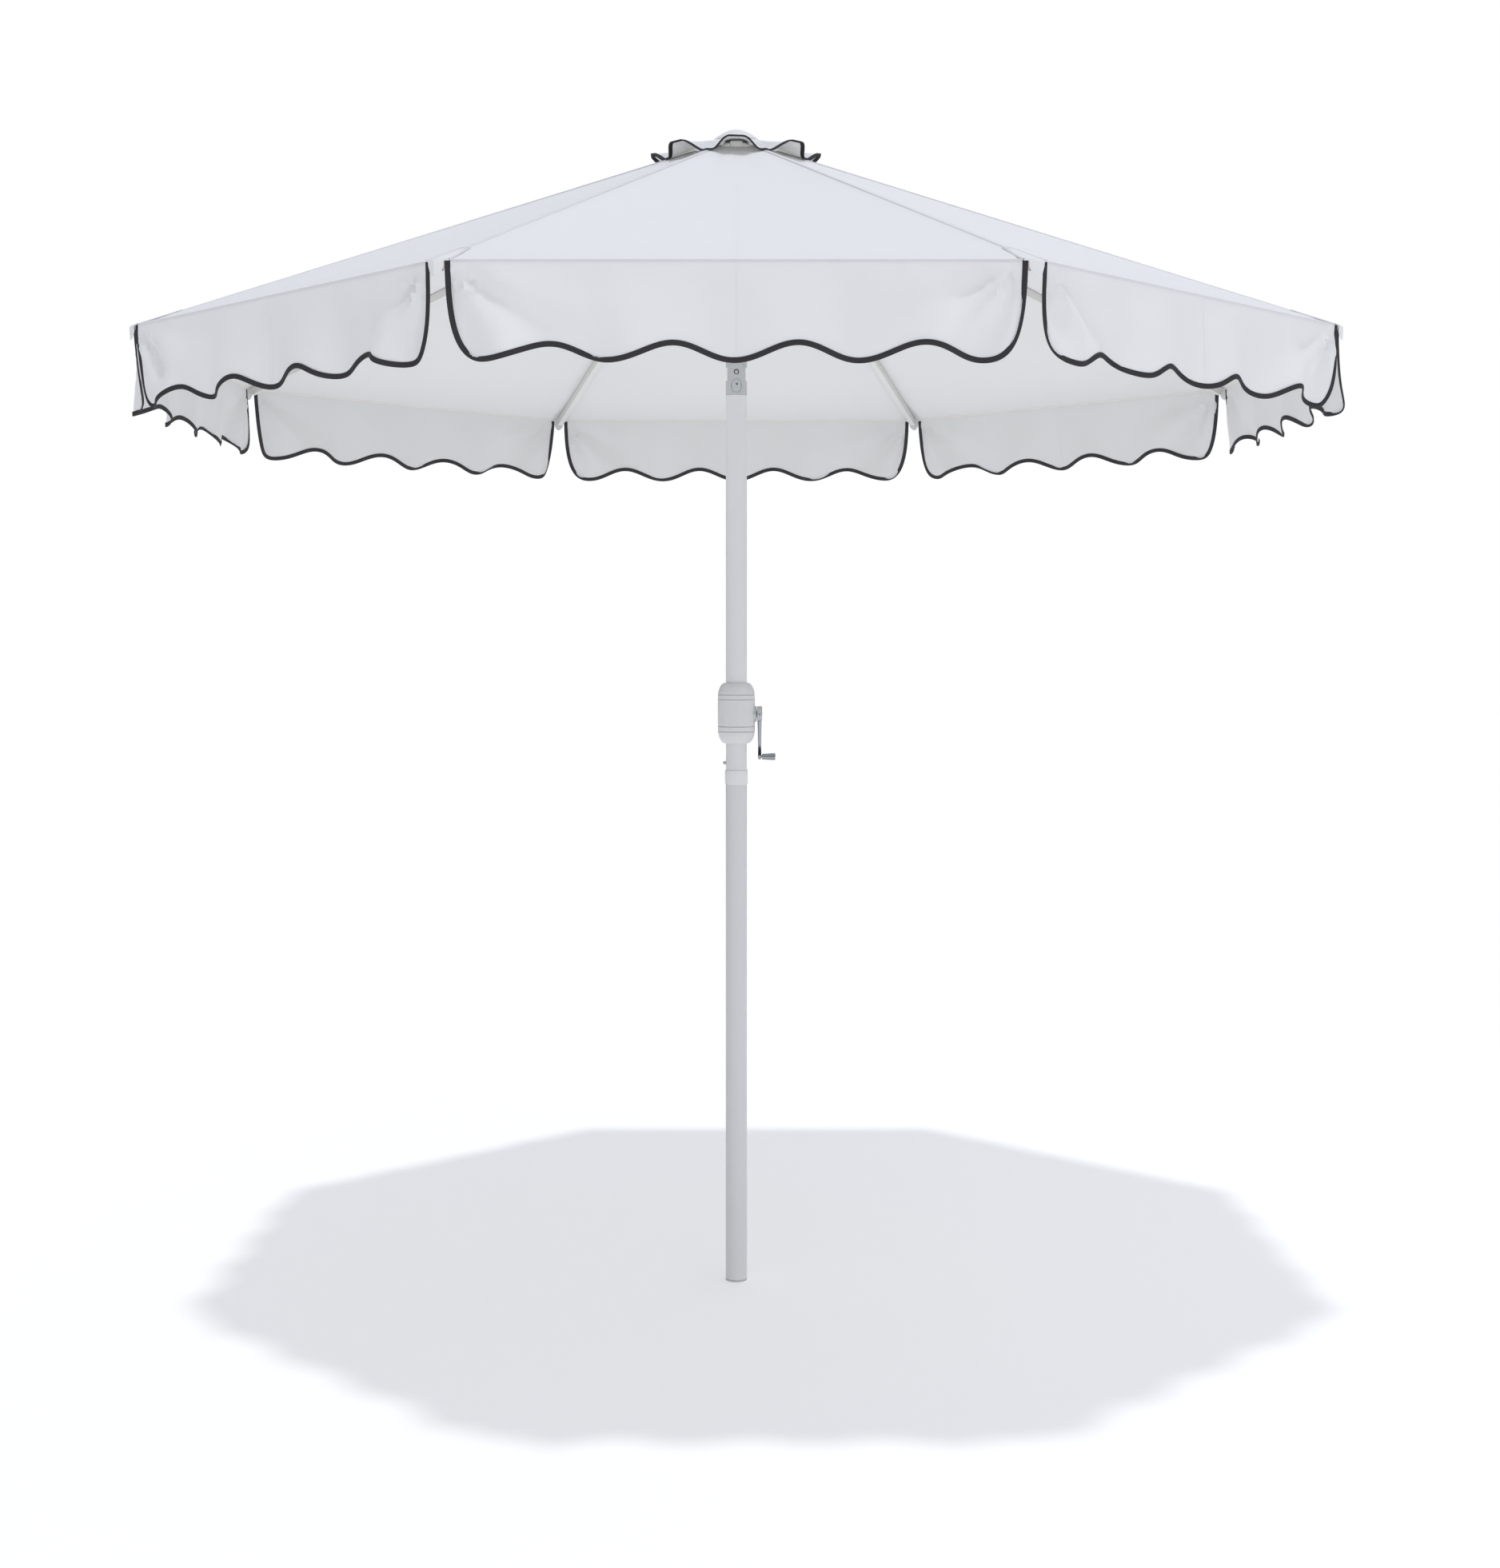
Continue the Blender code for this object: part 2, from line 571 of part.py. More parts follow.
# ---- ribs and struts ----------------------------------------------------------------
def rib_mesh():
    """A box-section rib along +X from its hinge, with the strut's bracket under it."""
    half_w, half_h = RIB_W / 2, RIB_H / 2
    inside = box_mesh((0.035, -half_w + RIB_WALL, -half_h + RIB_WALL),
                      (RIB_LENGTH + 0.05, half_w - RIB_WALL, half_h - RIB_WALL))
    steps = [
        ("UNION", rod_mesh((0, -half_w, 0), (0, half_w, 0), half_h, sides=12)),
        ("DIFFERENCE", inside),
    ]
    ear_in = STRUT_W / 2 + 0.0004
    for side in (1, -1):
        ear = box_mesh((BRACKET_X - 0.007, side * ear_in, -BRACKET_DROP - 0.006),
                       (BRACKET_X + 0.007, side * half_w, -half_h + 0.0008))
        steps.append(("UNION", ear))
    pin = rod_mesh((BRACKET_X, -half_w - 0.0012, -BRACKET_DROP),
                   (BRACKET_X, half_w + 0.0012, -BRACKET_DROP), 0.0022, sides=8)
    bore = rod_mesh((0, -0.01, 0), (0, 0.01, 0), 0.0030, sides=10)
    bar = box_mesh((0, -half_w, -half_h), (RIB_LENGTH, half_w, half_h))
    return shaped(bar, *steps, ("UNION", pin), ("DIFFERENCE", bore))


def strut_mesh():
    """A channel-section strut along +X from the rib's bracket to the runner's ring."""
    half_w, half_h = STRUT_W / 2, STRUT_H / 2
    bar = box_mesh((0, -half_w, -half_h), (ARM, half_w, half_h))
    channel = box_mesh((0.020, -half_w + 0.0012, -0.02),
                       (ARM - 0.020, half_w - 0.0012, half_h - 0.0012))
    steps = [("DIFFERENCE", channel)]
    for x, bore in ((0.0, 0.0025), (ARM, 0.0027)):
        steps.append(("UNION", rod_mesh((x, -half_w, 0), (x, half_w, 0), half_h, sides=12)))
        steps.append(("DIFFERENCE", rod_mesh((x, -0.01, 0), (x, 0.01, 0), bore, sides=10)))
    return shaped(bar, *steps)


# ---- canopy -------------------------------------------------------------------------
def panel_outline():
    """One roof gore in its own plane: along the slope from the apex, and across."""
    ends = (ROOF_HOLE_R * math.cos(HALF_TURN), APOTHEM - 0.0005)
    spread = math.tan(HALF_TURN)
    corners = [(a / math.cos(GORE_SLOPE), a * spread - 0.0006) for a in ends]
    (x0, w0), (x1, w1) = corners
    return [(x0, -w0), (x1, -w1), (x1, w1), (x0, w0)]


def flap_outline():
    """One valance flap: straight at the rim, scalloped below, with rounded sides."""
    side = [(FLAP_TOP_HALF, -0.002), (FLAP_TOP_HALF - 0.003, -0.095),
            (FLAP_LOBE_HALF + 0.046, -FLAP_DROP - FLAP_WAVE),
            (FLAP_LOBE_HALF, -FLAP_DROP - FLAP_WAVE)]

    def bezier(t):
        weights = ((1 - t) ** 3, 3 * t * (1 - t) ** 2, 3 * t * t * (1 - t), t ** 3)
        return tuple(sum(w * p[i] for w, p in zip(weights, side)) for i in (0, 1))

    right = [bezier(i / 6) for i in range(7)]
    waves = 24
    bottom = []
    for i in range(1, waves):
        x = FLAP_LOBE_HALF * (1 - 2 * i / waves)
        depth = FLAP_DROP + FLAP_WAVE * math.cos(2 * math.pi * x / FLAP_PITCH)
        bottom.append((x, -depth))
    return right + bottom + [(-x, y) for x, y in reversed(right)]


def vent_mesh():
    """The vent cap: a shallow cap, low at the ribs, whose edge arches up between them."""
    rings, per_side = 5, 6
    hole = 0.0060
    around = SIDES * per_side
    work = bmesh.new()
    rows = []
    for i in range(rings):
        share = i / (rings - 1)
        row = []
        for j in range(around):
            part = (j % per_side) / per_side
            arch = math.sin(math.pi * part)
            turn = (part - 0.5) * 2 * HALF_TURN
            edge = VENT_R * math.cos(HALF_TURN) / math.cos(turn) + VENT_BILLOW * arch
            r = hole + (edge - hole) * share
            roof = APEX_Z - r * math.cos(turn) * math.tan(GORE_SLOPE)
            z = roof + (VENT_TOP - APEX_Z) * (1 - share) + 0.0024
            z += VENT_LIFT * share ** 2 * arch - RIVET_Z
            angle = HALF_TURN + 2 * math.pi * j / around
            row.append(work.verts.new((r * math.cos(angle), r * math.sin(angle), z)))
        rows.append(row)
    for upper, lower in zip(rows, rows[1:]):
        for j in range(around):
            nxt = (j + 1) % around
            work.faces.new((upper[j], lower[j], lower[nxt], upper[nxt]))
    made = bpy.data.meshes.new("vent")
    work.to_mesh(made)
    work.free()
    return made


def build_canopy(head):
    rib, strut = rib_mesh(), strut_mesh()
    for k in range(SIDES):
        azimuth = HALF_TURN + 2 * HALF_TURN * k
        n = k + 1
        reach = Vector((HINGE_R * math.cos(azimuth), HINGE_R * math.sin(azimuth), 0))
        hinge = pivot(f"rib_{n}_hinge", head, reach + Vector((0, 0, HINGE_Z - RIVET_Z)), azimuth)
        add(f"rib_{n}", rib.copy(), COATED, hinge, turn=(0, RIB_SLOPE, 0))

        elbow = pivot(f"strut_{n}_hinge", hinge, (BRACKET_R - HINGE_R, 0, BRACKET_Z - HINGE_Z))
        add(f"strut_{n}", strut.copy(), COATED, elbow, turn=(0, ARM_SLOPE, math.pi))

        panel = add(f"canopy_panel_{n}", sheet_curve(panel_outline()), CLOTH, hinge)
        panel.location = (-HINGE_R, 0, APEX_Z - FABRIC - HINGE_Z)
        panel.rotation_euler = (0, GORE_SLOPE, HALF_TURN)

        rim = pivot(f"valance_{n}_hinge", hinge, (TIP_R - HINGE_R, 0, TIP_Z - HINGE_Z))
        flap = add(f"valance_{n}", sheet_curve(flap_outline()), CLOTH, rim)
        out = APOTHEM + 0.0010
        flap.location = (out * math.cos(HALF_TURN) - TIP_R, out * math.sin(HALF_TURN), 0)
        flap.rotation_euler = (math.pi / 2, 0, math.pi / 2 + HALF_TURN)

    vent = add("vent_cap", vent_mesh(), CLOTH, head)
    skin = vent.modifiers.new("cloth", "SOLIDIFY")
    skin.thickness = FABRIC
    skin.offset = 0


build_pole()
build_crank()
tilting_head = build_knuckle()
build_mast(tilting_head)
build_cords(tilting_head)
build_runner(tilting_head)
build_canopy(tilting_head)
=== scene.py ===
"""Patio umbrella with a vent cap and a bound, scalloped valance: every piece that shows
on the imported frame, in the order in which the umbrella is put together.
"""

import math

import bmesh
import bpy
from mathutils import Matrix, Vector


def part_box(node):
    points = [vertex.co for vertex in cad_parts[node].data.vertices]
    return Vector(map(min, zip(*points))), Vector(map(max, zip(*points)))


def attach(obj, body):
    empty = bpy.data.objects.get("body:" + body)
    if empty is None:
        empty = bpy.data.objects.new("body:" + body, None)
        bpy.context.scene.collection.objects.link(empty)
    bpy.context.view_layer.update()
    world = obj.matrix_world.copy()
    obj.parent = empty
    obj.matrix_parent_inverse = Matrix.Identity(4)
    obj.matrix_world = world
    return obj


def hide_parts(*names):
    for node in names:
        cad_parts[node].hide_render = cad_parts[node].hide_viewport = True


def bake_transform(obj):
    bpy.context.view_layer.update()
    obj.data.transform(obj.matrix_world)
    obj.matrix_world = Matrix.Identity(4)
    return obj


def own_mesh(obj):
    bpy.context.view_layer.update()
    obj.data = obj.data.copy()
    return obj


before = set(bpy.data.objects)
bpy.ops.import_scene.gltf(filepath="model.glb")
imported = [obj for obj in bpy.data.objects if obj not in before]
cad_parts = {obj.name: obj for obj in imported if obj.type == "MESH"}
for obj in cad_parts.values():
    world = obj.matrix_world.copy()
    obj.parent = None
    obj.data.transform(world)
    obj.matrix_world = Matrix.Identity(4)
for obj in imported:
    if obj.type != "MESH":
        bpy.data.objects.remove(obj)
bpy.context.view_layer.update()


# ---- the lower pole -------------------------------------------------------------------
# A 48 mm drawn tube, reduced at its top to plug into the upper pole, and coated with a
# light grey powder paint that leaves a faint orange peel.
POLE_R = 0.0240
UPPER_R = 0.0237
TUBE_WALL = 0.0014
JOINT_Z = 1.135


def placed(name, data):
    """An object of this name that shows the data, in the scene."""
    made = bpy.data.objects.new(name, data)
    bpy.context.scene.collection.objects.link(made)
    return made


def smoothed(name, work, sharp_degrees=35):
    """A bmesh as a mesh object, shaded smooth except where it turns sharply."""
    mesh = bpy.data.meshes.new(name)
    work.to_mesh(mesh)
    work.free()
    mesh.shade_smooth()
    mesh.set_sharp_from_angle(angle=math.radians(sharp_degrees))
    return placed(name, mesh)


def finished(name, work, sharp_degrees=35):
    """A mesh object from a bmesh, with its faces pointing outwards."""
    work.normal_update()
    bmesh.ops.recalc_face_normals(work, faces=work.faces)
    return smoothed(name, work, sharp_degrees)


def lathe(outline, centre=(0, 0, 0), along="Z", steps=64):
    """A bmesh turned about an axis from (radius, height) points round its section."""
    work = bmesh.new()
    rows = []
    for radius, height in outline:
        if radius < 1e-6:
            rows.append([work.verts.new((0, 0, height))] * steps)
            continue
        turns = [2 * math.pi * j / steps for j in range(steps)]
        rows.append([work.verts.new((radius * math.cos(a), radius * math.sin(a), height))
                     for a in turns])
    pairs = list(zip(rows, rows[1:]))
    if outline[0][0] > 0 and outline[-1][0] > 0:
        pairs.append((rows[-1], rows[0]))
    for upper, lower in pairs:
        for j in range(steps):
            nxt = (j + 1) % steps
            corners = list(dict.fromkeys((upper[j], lower[j], lower[nxt], upper[nxt])))
            if len(corners) > 2:
                work.faces.new(corners)
    turn = {"Z": Matrix.Identity(4), "X": Matrix.Rotation(math.pi / 2, 4, "Y"),
            "Y": Matrix.Rotation(-math.pi / 2, 4, "X")}[along]
    bmesh.ops.transform(work, matrix=Matrix.Translation(centre) @ turn, verts=work.verts)
    return work


def eased(piece, width, segments=2):
    """The piece with its sharp edges rounded by a small bevel."""
    bevel = piece.modifiers.new("eased edges", "BEVEL")
    bevel.width = width
    bevel.segments = segments
    bevel.limit_method = "ANGLE"
    bevel.angle_limit = math.radians(32)
    bevel.harden_normals = True
    return piece


def put(piece, body, slot, material, *nodes):
    """Dress a finished piece and let it ride on its body in place of CAD nodes."""
    piece.data.materials.clear()
    piece.data.materials.append(material)
    if nodes:
        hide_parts(*nodes)
    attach(piece, body)
    return piece


def node_group(name, kind, inputs, outputs):
    """A node group with (label, type, default) inputs and (label, type) outputs.

    It is returned with the sockets that lead in and out of it.
    """
    tree = bpy.data.node_groups.new(name, kind)
    for label, sort, value in inputs:
        socket = tree.interface.new_socket(label, in_out="INPUT", socket_type="NodeSocket" + sort)
        if value is not None:
            socket.default_value = value
    for label, sort in outputs:
        tree.interface.new_socket(label, in_out="OUTPUT", socket_type="NodeSocket" + sort)
    entry, leave = tree.nodes.new("NodeGroupInput"), tree.nodes.new("NodeGroupOutput")
    return tree, entry.outputs, leave.inputs


def feed(tree, socket, value):
    """Set a socket to a number or colour, or link another node's output to it."""
    if isinstance(value, bpy.types.NodeSocket):
        tree.links.new(value, socket)
    else:
        socket.default_value = value


def maths(tree, operation, *values):
    """The output of a math node on numbers and other outputs."""
    node = tree.nodes.new("ShaderNodeMath")
    node.operation = operation
    for socket, value in zip(node.inputs, values):
        feed(tree, socket, value)
    return node.outputs[0]


def noise(tree, place, scale, detail):
    """The output of a noise over a place."""
    node = tree.nodes.new("ShaderNodeTexNoise")
    for label, value in (("Vector", place), ("Scale", scale), ("Detail", detail)):
        feed(tree, node.inputs[label], value)
    return node.outputs["Fac"]


def mixed_colour(tree, share, dark, light):
    """The output of a mix of two colours by a share."""
    node = tree.nodes.new("ShaderNodeMix")
    node.data_type = "RGBA"
    for place, value in ((0, share), (6, dark), (7, light)):
        feed(tree, node.inputs[place], value)
    return node.outputs[2]


def grain_group():
    """Fine random grain: a colour between two, a roughness and a height."""
    tree, entry, leave = node_group("fine grain", "ShaderNodeTree", (
        ("Place", "Vector", None), ("Grain per Metre", "Float", 900.0),
        ("Patches per Metre", "Float", 9.0), ("Roughness", "Float", 0.45),
        ("Roughness Spread", "Float", 0.06), ("Light Colour", "Color", None),
        ("Dark Colour", "Color", None),
    ), (("Colour", "Color"), ("Roughness", "Float"), ("Height", "Float")))
    patch_share = 0.6
    fine = noise(tree, entry["Place"], entry["Grain per Metre"], 3.0)
    patches = noise(tree, entry["Place"], entry["Patches per Metre"], 4.0)
    both = maths(tree, "MULTIPLY_ADD", patches, patch_share,
                 maths(tree, "MULTIPLY", fine, 1 - patch_share))
    colour = mixed_colour(tree, both, entry["Dark Colour"], entry["Light Colour"])
    rough = maths(tree, "MULTIPLY_ADD", maths(tree, "SUBTRACT", both, 0.5),
                  entry["Roughness Spread"], entry["Roughness"])
    for label, value in (("Colour", colour), ("Roughness", rough), ("Height", fine)):
        tree.links.new(value, leave[label])
    return tree


fine_grain = grain_group()


def preset(node, values):
    """Set a node's inputs by their labels."""
    for label, value in values.items():
        node.inputs[label].default_value = value


def textured(name, group_tree, values, strength, relief):
    """A material that a group gives its colour and relief, with its shader and group."""
    made = bpy.data.materials.new(name)
    made.use_nodes = True
    nodes, link = made.node_tree.nodes, made.node_tree.links.new
    shader = nodes["Principled BSDF"]
    group = nodes.new("ShaderNodeGroup")
    group.node_tree = group_tree
    preset(group, values)
    bump = nodes.new("ShaderNodeBump")
    preset(bump, {"Strength": strength, "Distance": relief})
    link(group.outputs["Colour"], shader.inputs["Base Color"])
    link(group.outputs["Height"], bump.inputs["Height"])
    link(bump.outputs["Normal"], shader.inputs["Normal"])
    return made, shader, group


def grained(name, light, dark, roughness, relief, grain=900.0, metallic=0.0):
    """A solid finish: fine grain over slow patches, on the piece's own place."""
    made, shader, group = textured(name, fine_grain, {
        "Grain per Metre": grain, "Roughness": roughness, "Light Colour": (*light, 1),
        "Dark Colour": (*dark, 1)}, 0.5, relief)
    shader.inputs["Metallic"].default_value = metallic
    place = made.node_tree.nodes.new("ShaderNodeTexCoord")
    made.node_tree.links.new(place.outputs["Object"], group.inputs["Place"])
    made.node_tree.links.new(group.outputs["Roughness"], shader.inputs["Roughness"])
    return made


pole_paint = grained("pole powder coat", (0.80, 0.795, 0.80), (0.74, 0.735, 0.74), 0.40,
                     0.00012)
shoulder_z = JOINT_Z - 0.004
lower_pole = finished("pole_lower_tube", lathe([
    (0.0220, 1.228), (0.0220, JOINT_Z + 0.002), (POLE_R, shoulder_z), (POLE_R, 0.0043),
    (POLE_R - TUBE_WALL, 0.0043), (POLE_R - TUBE_WALL, shoulder_z - 0.002),
    (0.0206, JOINT_Z), (0.0206, 1.228),
]))
put(eased(lower_pole, 0.0004), "pole", "pole_coating", pole_paint, "lower_pole")


# ---- the foot plug and the collar -----------------------------------------------------
# Moulded grey plastic: a plug pressed into the tube's foot, and a collar slid over the
# joint of the two tubes, with rounded edges.
moulded_grey = grained("moulded grey plastic", (0.60, 0.60, 0.61), (0.54, 0.54, 0.55), 0.48,
                       0.00010, grain=1500.0)
collar_plastic = grained("collar plastic", (0.86, 0.85, 0.845), (0.80, 0.79, 0.785), 0.48,
                         0.00010, grain=1500.0)

foot_plug = finished("pole_foot_cap", lathe([
    (0, 0.030), (0.0203, 0.030), (0.0223, 0.026), (0.0223, 0.004), (POLE_R, 0.004),
    (POLE_R, 0.0008), (POLE_R - 0.0008, 0), (0, 0),
]))
put(eased(foot_plug, 0.0004), "pole", "grey_plastic", moulded_grey, "pole_foot_plug")

collar_low, collar_high = 1.1185, 1.151
collar = finished("pole_joint_collar", lathe([
    (0.0243, collar_high), (0.0249, collar_high), (0.0254, collar_high - 0.0006),
    (0.0257, collar_high - 0.0022), (0.0258, collar_high - 0.0060),
    (0.0258, collar_low + 0.0060), (0.0257, collar_low + 0.0022),
    (0.0254, collar_low + 0.0006), (0.0249, collar_low), (0.0243, collar_low),
]))
put(eased(collar, 0.0003), "pole", "grey_plastic", collar_plastic, "pole_collar")


# ---- the upper pole and its snap button -----------------------------------------------
# A second tube of the same paint over the reduced end of the lower one. A sprung steel
# button stands out of both through a punched hole.
# The upper tube and the mast get a slightly lighter copy of the lower tube's coat: painted light
# on the same paint.
lit_upper_paint = grained("upper pole powder coat painted light", (0.81, 0.805, 0.805), (0.75, 0.745, 0.745), 0.40,
                      0.00012)
upper_pole = finished("pole_upper_tube", lathe([
    (UPPER_R, 1.9967), (UPPER_R, JOINT_Z + 0.0035), (UPPER_R - TUBE_WALL, JOINT_Z + 0.0035),
    (UPPER_R - TUBE_WALL, 1.9967),
]))
put(eased(upper_pole, 0.0004), "pole", "pole_coating", lit_upper_paint, "upper_pole")
for paint in (pole_paint, lit_upper_paint):
    paint.node_tree.nodes["Principled BSDF"].inputs["Specular IOR Level"].default_value = 0.2

bright_steel = grained("bright steel", (0.56, 0.57, 0.59), (0.48, 0.49, 0.51), 0.26, 0.00004,
                       grain=2500.0, metallic=1.0)
snap_z = 1.167
snap = finished("snap_button_pin", lathe([
    (0, -0.0302), (0.0018, -0.0299), (0.0032, -0.0291), (0.0040, -0.0276), (0.0040, -0.0188),
    (0.0062, -0.0188), (0.0062, -0.0174), (0, -0.0174),
], (0, 0, snap_z), "X", 32))
put(snap, "snap_button", "steel", bright_steel, "snap_button")


# ---- the crank housing ----------------------------------------------------------------
# A barrel of two moulded halves closed round the upper pole, front and back, with two
# pairs of grooves turned round it and a fine parting line down each side.
HOUSING_LOW, HOUSING_HIGH, HOUSING_R = 1.2107, 1.348, 0.0420
GROOVES = (1.3210, 1.3103, 1.2494, 1.2379)
CRANK_Z = 1.2775


def barrel_radius(z, inset):
    """The barrel's radius at a height: round shoulders, a straight middle, grooves."""
    end_r, bend_z = POLE_R + 0.0015, 0.031
    from_end = min(z - HOUSING_LOW, HOUSING_HIGH - z)
    bend_r = HOUSING_R - inset - end_r
    share = max(0.0, 1 - from_end / bend_z)
    radius = end_r + bend_r * math.sqrt(max(0.0, 1 - share * share))
    middle = (HOUSING_LOW + HOUSING_HIGH) / 2
    radius -= 0.0008 * ((z - middle) / (HOUSING_HIGH - middle)) ** 2
    if inset == 0:
        for groove in GROOVES:
            radius -= 0.0013 * math.exp(-((z - groove) / 0.0005) ** 4)
    return radius


def barrel_side(low, high, inset):
    """Points down the barrel's side, closer together at its ends and grooves."""
    heights = {low, high}
    heights.update(low + (high - low) * i / 36 for i in range(37))
    for end, way in ((low, 1), (high, -1)):
        heights.update(end + way * 0.031 * (i / 10) ** 2 for i in range(8))
    if inset == 0:
        heights.update(g + step * 0.00025 for g in GROOVES for step in range(-6, 7))
    return [(barrel_radius(z, inset), z) for z in sorted(heights, reverse=True)]


housing_plastic = grained("housing plastic", (0.775, 0.77, 0.77), (0.715, 0.71, 0.71), 0.42,
                          0.00010, grain=1500.0)
bore = UPPER_R + 0.0003
for side, name, node in ((1, "crank_housing_shell_front", "crank_housing_front"),
                         (-1, "crank_housing_shell_back", "crank_housing_back")):
    work = lathe([
        (bore, HOUSING_HIGH), *barrel_side(HOUSING_LOW, HOUSING_HIGH, 0.0),
        (bore, HOUSING_LOW), (bore, HOUSING_LOW + 0.003),
        *reversed(barrel_side(HOUSING_LOW + 0.003, HOUSING_HIGH - 0.003, 0.003)),
        (bore, HOUSING_HIGH - 0.003),
    ], steps=96)
    cut = bmesh.ops.bisect_plane(
        work, geom=[*work.verts, *work.edges, *work.faces], dist=1e-7,
        plane_co=(0, -0.00015 * side, 0), plane_no=(0, side, 0), clear_outer=True)
    rim = [e for e in cut["geom_cut"] if isinstance(e, bmesh.types.BMEdge)]
    bmesh.ops.edgeloop_fill(work, edges=rim)
    put(finished(name, work, 50), "pole", "grey_plastic", housing_plastic, node)

# A thin dark ring in each groove is painted shade, standing in for the groove's shadow.
groove_shade_grey = grained("painted groove shade", (0.36, 0.36, 0.36), (0.30, 0.30, 0.30), 0.7, 0.00005)
for number, groove in enumerate(GROOVES, 1):
    depth = barrel_radius(groove, 0.0005)
    groove_shade = finished(f"housing_groove_shade_{number}", lathe([
        (depth, groove + 0.0003), (depth, groove - 0.0003), (depth - 0.0020, groove - 0.0003),
        (depth - 0.0020, groove + 0.0003),
    ], steps=96))
    put(groove_shade, "pole", "grey_plastic", groove_shade_grey)

# Two countersunk steel screws hold the halves together from behind.
for number, screw_z in enumerate((1.331, 1.2275), 1):
    depth = barrel_radius(screw_z, 0.001)
    screw = finished(f"housing_screw_{number}", lathe([
        (0, depth + 0.0008), (0.0012, depth + 0.0006), (0.0013, depth - 0.0004),
        (0.0020, depth - 0.0004), (0.0021, depth + 0.0008), (0.0034, depth + 0.0002),
        (0.0036, depth - 0.0040), (0, depth - 0.0040),
    ], (0.0, 0, screw_z), "Y", 24))
    put(screw, "pole", "steel", bright_steel)


# ---- the bush, the drum's shaft, the crank arm and its grip ---------------------------
# A cast zinc bush carries the drum's shaft out of the housing. The arm is a forged bar,
# chrome plated, held in a slotted zinc disc, and the grip spins on a pin at its end.
cast_zinc = grained("cast zinc", (0.60, 0.62, 0.63), (0.52, 0.54, 0.55), 0.42, 0.00010,
                    grain=1200.0, metallic=0.4)
bush = finished("crank_bearing_bush", lathe([
    (0.0054, 0.0465), (0.0095, 0.0465), (0.0100, 0.0458), (0.0145, 0.0458), (0.0165, 0.0452),
    (0.0180, 0.0436), (0.0185, 0.0410), (0.0185, 0.0345), (0.0054, 0.0345),
], (0, 0, CRANK_Z), "X", 48))
put(eased(bush, 0.0004), "pole", "zinc", cast_zinc, "crank_bush")



def dress(node, material):
    """Give a CAD piece that is shown as it is its finish."""
    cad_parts[node].data.materials.clear()
    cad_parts[node].data.materials.append(material)


dress("crank_drum", bright_steel)

chrome = grained("chrome plate", (0.40, 0.41, 0.43), (0.34, 0.35, 0.37), 0.10, 0.00002,
                 grain=300.0, metallic=1.0)


def skinned(work, rows):
    """Faces between rows of corners, one below the other, and over both ends."""
    for upper, lower in zip(rows, rows[1:]):
        for j in range(len(upper)):
            nxt = (j + 1) % len(upper)
            work.faces.new((upper[j], lower[j], lower[nxt], upper[nxt]))
    work.faces.new(rows[0])
    work.faces.new(reversed(rows[-1]))
    return work


def bar_work(stations, around=20, squareness=0.6):
    """A rounded bar through (centre, half x, half y) stations at falling heights."""
    work = bmesh.new()
    rows = []
    for (x, y, z), half_x, half_y in stations:
        row = []
        for j in range(around):
            a = 2 * math.pi * j / around
            px = math.copysign(abs(math.cos(a)) ** squareness, math.cos(a)) * half_x
            py = math.copysign(abs(math.sin(a)) ** squareness, math.sin(a)) * half_y
            row.append(work.verts.new((x + px, y + py, z)))
        rows.append(row)
    return skinned(work, rows)


ARM_LENGTH, ARM_X = 0.0965, 0.0525
bar_shape = ((0.0046, 0.0020, 0.0120), (0.0036, 0.0038, 0.0172), (0.0, 0.0044, 0.0184),
             (-0.006, 0.0048, 0.0180), (-0.012, 0.0050, 0.0120), (-0.017, 0.0049, 0.0070),
             (-0.026, 0.0047, 0.0056), (-0.050, 0.0042, 0.0050), (-0.075, 0.0038, 0.0046),
             (-0.087, 0.0040, 0.0052), (-ARM_LENGTH, 0.0044, 0.0064),
             (-0.1010, 0.0038, 0.0050), (-0.1030, 0.0018, 0.0024))
arm_bar = finished("crank_arm_bar", bar_work(
    [((ARM_X, 0, CRANK_Z + z), half_x, half_y) for z, half_x, half_y in bar_shape]), 60)
arm_smooth = arm_bar.modifiers.new("forged", "SUBSURF")
arm_smooth.levels = arm_smooth.render_levels = 1
put(arm_bar, "crank", "chrome", chrome, "crank_arm")
disc = finished("crank_arm_disc", lathe([
    (0, 0.0588), (0.0030, 0.0586), (0.0048, 0.0580), (0.0062, 0.0580), (0.0150, 0.0582),
    (0.0168, 0.0578), (0.0176, 0.0568), (0.0177, 0.0480), (0.0170, 0.0471), (0.0053, 0.0470),
    (0.0053, 0.0570), (0, 0.0570),
], (0, 0, CRANK_Z), "X", 64))
put(eased(disc, 0.0002), "crank", "zinc", cast_zinc)
grip_pin = finished("crank_grip_pin", lathe([
    (0, 0.0868), (0.0030, 0.0866), (0.0042, 0.0858), (0.0042, 0.0848), (0.0025, 0.0846),
    (0.0025, 0.0530), (0, 0.0530),
], (0, 0, CRANK_Z - ARM_LENGTH), "X", 32))
put(grip_pin, "crank", "chrome", chrome)
grip = finished("crank_grip_knob", lathe([
    (0.0047, 0.0878), (0.0066, 0.0880), (0.0078, 0.0874), (0.0081, 0.0860), (0.0078, 0.0800),
    (0.0072, 0.0700), (0.0067, 0.0620), (0.0064, 0.0590), (0.0058, 0.0581), (0.0029, 0.0580),
    (0.0029, 0.0838), (0.0047, 0.0840),
], (0, 0, CRANK_Z - ARM_LENGTH), "X", 48))
put(grip, "grip", "chrome", chrome, "crank_grip")


# ---- the tilt knuckle -----------------------------------------------------------------
# Two zinc castings the same width as the pole: a base with two ears and a push button,
# and a head whose tongue turns between the ears on a steel rivet.
RIVET_Z = 2.048


